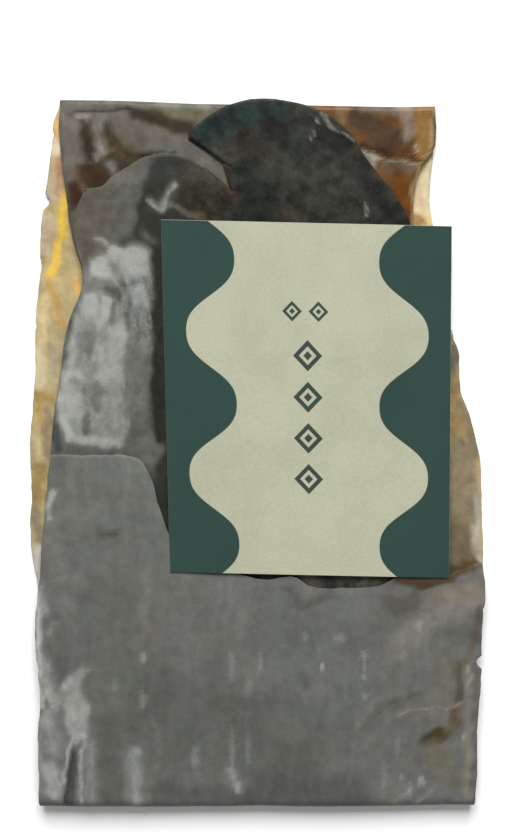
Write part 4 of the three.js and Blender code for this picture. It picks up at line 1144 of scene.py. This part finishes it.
# Creases: a painted glint along each ridge and painted shade along each groove, both coming and going.
CREASE_WANDER = 0.7
GLINT_EDGE = (-0.4, 1.7)
GLINT_COVER = 0.5
FADED = 0.55
FADED_EDGE = (0.32, 0.56)
CREASE_SHADE_EDGE = (0.2, 1.4)
CREASE_SHADE_TONE = 0.45
wander = wandering(tree, place, 1.8, CREASE_WANDER)
fitful = between(tree, noise(tree, place, 6.0), *FADED_EDGE, FADED, 1.0)
pale = between(tree, maths(tree, "ADD", attribute(tree, "glint_gap"), wander), *GLINT_EDGE, 1.0, 0.0)
pale = maths(tree, "MULTIPLY", pale, fitful)
dark = between(tree, maths(tree, "ADD", attribute(tree, "dark_gap"), wander), *CREASE_SHADE_EDGE, 1.0, 0.0)
base = colour_mix(tree, maths(tree, "MULTIPLY", pale, GLINT_COVER), base, CREASE_GLINT_COLOUR)
# Painted shade along the grooves darkens the colour here.
base = times(tree, base, maths(tree, "MULTIPLY_ADD", dark, -CREASE_SHADE_TONE, 1.0))

# Painted glints on the flap: each an ellipsoid round its centre, with a ragged edge, in the meal's colour.
FLAP_GLINT_EDGE = (0.2, 1.5)
FLAP_GLINT_WANDER = 1.2
flap_glint_wander = wandering(tree, place, 1.3, FLAP_GLINT_WANDER, 2.0, 0.6)
for (glint_x, glint_y), (reach_x, reach_y), strength in FLAP_GLINTS:
    away = vector_maths(tree, "SUBTRACT", flat_place, (glint_x, glint_y, FLAP_TOP_Z))
    away = vector_maths(tree, "DIVIDE", away, (reach_x, reach_y, FLAP_GLINT_DEPTH))
    away = add(tree, "VectorMath", (away,), operation="LENGTH").outputs["Value"]
    flap_glint = between(tree, maths(tree, "ADD", away, flap_glint_wander), *FLAP_GLINT_EDGE, strength, 0.0)
    base = colour_mix(tree, flap_glint, base, MEAL_AND_GLINT_COLOUR)
tree.links.new(base, shader.inputs["Base Color"])

# Meal is the roughest, thin amber and thin dark blade the smoothest.
MEAL_ROUGHER = 0.25
THIN_SMOOTHER = 0.2
thin_blade = maths(tree, "MAXIMUM", attribute(tree, "amber"), thin_dark)
rough = maths(tree, "MULTIPLY_ADD", maths(tree, "MAXIMUM", crust, veil), MEAL_ROUGHER, MATT)
rough = maths(tree, "MULTIPLY_ADD", thin_blade, -THIN_SMOOTHER, rough)
rough = maths(tree, "MULTIPLY", rough, uneven_tone(tree, place, 2.2, 0.12))
tree.links.new(rough, shader.inputs["Roughness"])

# Relief in mm: leathery grain, fine lines along the blade, the meal's crust and the creases.
GRAIN_HEIGHT = 0.08
LINE_HEIGHT = 0.08
CREASE_HEIGHT = 0.12
CRUST_HEIGHT = 0.16
grain = maths(tree, "MULTIPLY", noise(tree, place, 1.6, 3.0, 0.55), GRAIN_HEIGHT)
lines = maths(tree, "MULTIPLY", noise(tree, lengthwise, 2.6), LINE_HEIGHT)
lip = maths(tree, "MULTIPLY_ADD", pale, CREASE_HEIGHT, maths(tree, "MULTIPLY", dark, -CREASE_HEIGHT))
heap = maths(tree, "MULTIPLY_ADD", crust, CRUST_HEIGHT, lip)
relief_normal(tree, maths(tree, "ADD", maths(tree, "ADD", grain, lines), heap), shader)

leaf.data.materials.append(kelp)
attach(leaf, "root")
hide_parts("kelp_leaf")


# ---- The label card -----------------------------------------------------------------------------
# A stiff uncoated paper card, cut a little out of square and printed in two flat inks: a cream
# ground that swells and narrows down the card, between dark green sides, with a column of
# nested lozenges. It lies loose on the leaf, its lower end on the flap's torn end.
CARD_WIDTH = 125
CARD_LENGTH = 156.8
CARD_THICKNESS = 0.5
CARD_CENTRE = (21.9, 28.9, 9.5)
CARD_LEAN = math.radians(-0.53)
CARD_SIDES_LEAN = -0.0158
CARD_ENDS_DROP = -0.0222
CARD_BOW = 0.35
CARD_WAVE = 0.12
CARD_CORNER_LIFT = 0.9
CARD_CORNER_U, CARD_CORNER_V = 0.2, 0.25
CARD_EDGE_BULGE = 0.35
SHARP_FROM = math.radians(40)

card_u, card_v = np.meshgrid(np.linspace(-0.5, 0.5, 45), np.linspace(0.5, -0.5, 55))


def card_sheet(u, v):
    """Points of the card's middle surface, for u and v from -0.5 to 0.5: a rectangle with both
    pairs of sides leant, bowed up along its middle by a parabola and faintly waved down its
    length, its upper right corner lifted, laid at its lean on the leaf."""
    width, length = u * CARD_WIDTH, v * CARD_LENGTH
    bow = CARD_BOW * (1 - 4 * u**2) + CARD_WAVE * wave(v * 1.3 + 0.1)
    corner = ease((u - CARD_CORNER_U) / (0.5 - CARD_CORNER_U))
    corner = corner * CARD_CORNER_LIFT * ease((v - CARD_CORNER_V) / (0.5 - CARD_CORNER_V))
    flat = np.stack([width + CARD_SIDES_LEAN * length, length + CARD_ENDS_DROP * width, bow + corner], -1)
    lean = np.array(Matrix.Rotation(CARD_LEAN, 3, "X"))
    return flat.reshape(-1, 3) @ lean.T + CARD_CENTRE


card_triangles = grid_triangles(*card_u.shape, 0)
card_middle = card_sheet(card_u, card_v)
card_half = np.full(len(card_middle), CARD_THICKNESS / 2)
card_points, card_faces, _ = thickened(card_middle, card_triangles, card_half, card_half, CARD_EDGE_BULGE)
card = new_piece("paper_label_card", card_points, card_faces)
card.data.set_sharp_from_angle(angle=SHARP_FROM)

# The print follows the sheet: a UV map holds u and v on the printed face, and a place outside
# the print on the plain back and the cut edges.
UNPRINTED = 3.0
printed = np.column_stack([card_u.ravel() + 0.5, card_v.ravel() + 0.5])
corner_uv = np.full((len(card_faces), 3, 2), UNPRINTED)
corner_uv[: len(card_triangles)] = printed[card_triangles]
card.data.uv_layers.new(name="print").data.foreach_set("uv", corner_uv.astype(np.float32).ravel())

# The cream ground: its half width swings about its mean by a cosine down the card, made fuller
# by another three times as fast. All its edges, and the lozenges', are soft by the ink's edge.
WAVE_PERIOD = 63.5
WAVE_NARROWEST_V = -1.3
GROUND_HALF_WIDTH = 42.05
GROUND_SWING = 11.45
GROUND_FULLNESS = 0.06
INK_EDGE = 0.14
PAPER_TOOTH = 0.05
CREAM = (*albedo((190, 192, 167)), 1.0)
GREEN = (*albedo((56, 79, 73)), 1.0)
MARK_INK = (*albedo((66, 80, 72)), 1.0)
BOARD = (*albedo((205, 203, 190)), 1.0)

# The lozenges: half width and half height; the column's middle, pitch and count; the small
# pair; and, as shares of the way out, where the centre ends and the band starts.
LOZENGE = (6.4, 6.9)
COLUMN_V = -6.8
COLUMN_PITCH = 18.4
COLUMN_COUNT = 4
SMALL_LOZENGE = (4.3, 4.5)
PAIR_PLACES = [(-6.6, 40.2), (4.9, 40.2)]
CENTRE_SHARE = 0.3
BAND_SHARE = 0.6

paper, tree, shader = new_material("printed_card", roughness=0.75, specular=0.25)
uv = add(tree, "UVMap", uv_map="print").outputs[0]
split = add(tree, "SeparateXYZ", (uv,))
across = maths(tree, "MULTIPLY_ADD", split.outputs[0], CARD_WIDTH, -CARD_WIDTH / 2)
down = maths(tree, "MULTIPLY_ADD", split.outputs[1], CARD_LENGTH, -CARD_LENGTH / 2)

turn = maths(tree, "MULTIPLY", maths(tree, "SUBTRACT", down, WAVE_NARROWEST_V), 2 * math.pi / WAVE_PERIOD)
swell = maths(tree, "MULTIPLY", maths(tree, "COSINE", turn), -1.0)
third_wave = maths(tree, "COSINE", maths(tree, "MULTIPLY", turn, 3.0))
fuller = maths(tree, "MULTIPLY_ADD", third_wave, GROUND_FULLNESS, swell)
half_ground = maths(tree, "MULTIPLY_ADD", fuller, GROUND_SWING, GROUND_HALF_WIDTH)
past = maths(tree, "SUBTRACT", maths(tree, "ABSOLUTE", across), half_ground)
green_side = between(tree, past, -INK_EDGE, INK_EDGE)


def lozenge_mask(tree, from_u, from_v, size):
    """1 on a lozenge's band and on its centre, by |u| / half width + |v| / half height."""
    u = maths(tree, "DIVIDE", maths(tree, "ABSOLUTE", from_u), size[0])
    v = maths(tree, "DIVIDE", maths(tree, "ABSOLUTE", from_v), size[1])
    out = maths(tree, "ADD", u, v)
    edge = INK_EDGE / size[0]
    centre = between(tree, out, CENTRE_SHARE - edge, CENTRE_SHARE + edge, 1.0, 0.0)
    outside_gap = between(tree, out, BAND_SHARE - edge, BAND_SHARE + edge)
    inside_rim = between(tree, out, 1 - edge, 1 + edge, 1.0, 0.0)
    return maths(tree, "MAXIMUM", centre, maths(tree, "MULTIPLY", outside_gap, inside_rim))


half_pitch = COLUMN_PITCH / 2
from_column = maths(tree, "SUBTRACT", down, COLUMN_V)
in_column = maths(tree, "LESS_THAN", maths(tree, "ABSOLUTE", from_column), COLUMN_COUNT * half_pitch)
shifted = maths(tree, "WRAP", maths(tree, "ADD", from_column, half_pitch), half_pitch, -half_pitch)
marks = maths(tree, "MULTIPLY", lozenge_mask(tree, across, shifted, LOZENGE), in_column)
for pair_u, pair_v in PAIR_PLACES:
    from_u = maths(tree, "SUBTRACT", across, pair_u)
    from_v = maths(tree, "SUBTRACT", down, pair_v)
    marks = maths(tree, "MAXIMUM", marks, lozenge_mask(tree, from_u, from_v, SMALL_LOZENGE))

inked = colour_mix(tree, marks, CREAM, MARK_INK)
inked = colour_mix(tree, green_side, inked, GREEN)
on_print = maths(tree, "LESS_THAN", split.outputs[0], UNPRINTED / 2)
inked = colour_mix(tree, on_print, BOARD, inked)
place = in_mm(tree)
fibres = maths(tree, "MULTIPLY", uneven_tone(tree, place, 1.2, 0.045), uneven_tone(tree, place, 22.0, 0.05))
tree.links.new(times(tree, inked, fibres), shader.inputs["Base Color"])
relief_normal(tree, maths(tree, "MULTIPLY", noise(tree, place, 0.35, 3.0, 0.6), PAPER_TOOTH), shader)

card.data.materials.append(paper)
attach(card, "root")
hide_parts("label_card")


# ---- The table, the light and the camera ---------------------------------------------------------
# A plain pale table top, even white light all round and one soft lamp beyond the pack's top.
TABLE_SIZE = 24.0
TABLE_CORNERS = [(-1, -1), (1, -1), (1, 1), (-1, 1)]
PALE = (0.92, 0.92, 0.92, 1.0)
WHITE = (1.0, 1.0, 1.0, 1.0)
ROOM_LIGHT = 0.33
table_mesh = bpy.data.meshes.new("table_top")
corners = [(side_x * TABLE_SIZE / 2, side_y * TABLE_SIZE / 2, 0) for side_x, side_y in TABLE_CORNERS]
table_mesh.from_pydata(corners, [], [range(4)])
table = bpy.data.objects.new("table_top", table_mesh)
bpy.context.scene.collection.objects.link(table)
pale_top, _, shader = new_material("pale_table", roughness=0.9, specular=0.1)
shader.inputs["Base Color"].default_value = PALE
table_mesh.materials.append(pale_top)

world = bpy.data.worlds.new("even_light")
world.use_nodes = True
feed_inputs(world.node_tree, world.node_tree.nodes["Background"].inputs, (WHITE, ROOM_LIGHT))
bpy.context.scene.world = world
bpy.context.scene.view_settings.view_transform = "Standard"

# The point looked at, in the pack's middle, and the camera and lamp above it, both tipped
# towards the pack's top.
LOOKED_AT = Vector((-2.5, 21.55, 6.4)) * MM
CAMERA_TILT = math.radians(11)
CAMERA_DISTANCE = 0.7
FOCAL_LENGTH = 68.25
LAMP_DISTANCE = 3.0
LAMP_TILT = math.radians(48)
LAMP_WIDTH = 1.5
LAMP_POWER = 139.0


def towards(tilt, distance):
    """The place at that distance from the pack, tipped from straight above towards its top."""
    return LOOKED_AT + distance * Vector((0, math.sin(tilt), math.cos(tilt)))


def facing(tilt):
    """A turn that looks down on the pack from a tilted place, with the pack's top upwards."""
    return Matrix.Rotation(-tilt, 4, "X")


lamp_data = bpy.data.lights.new("soft_lamp", "AREA")
lamp_data.size = LAMP_WIDTH
lamp_data.energy = LAMP_POWER
lamp = bpy.data.objects.new("soft_lamp", lamp_data)
lamp.matrix_world = Matrix.Translation(towards(LAMP_TILT, LAMP_DISTANCE)) @ facing(LAMP_TILT)
bpy.context.scene.collection.objects.link(lamp)

camera_data = bpy.data.cameras.new("camera")
camera_data.lens = FOCAL_LENGTH
camera_data.clip_start = 0.01
camera = bpy.data.objects.new("camera", camera_data)
camera.matrix_world = Matrix.Translation(towards(CAMERA_TILT, CAMERA_DISTANCE)) @ facing(CAMERA_TILT)
bpy.context.scene.collection.objects.link(camera)
bpy.context.scene.camera = camera
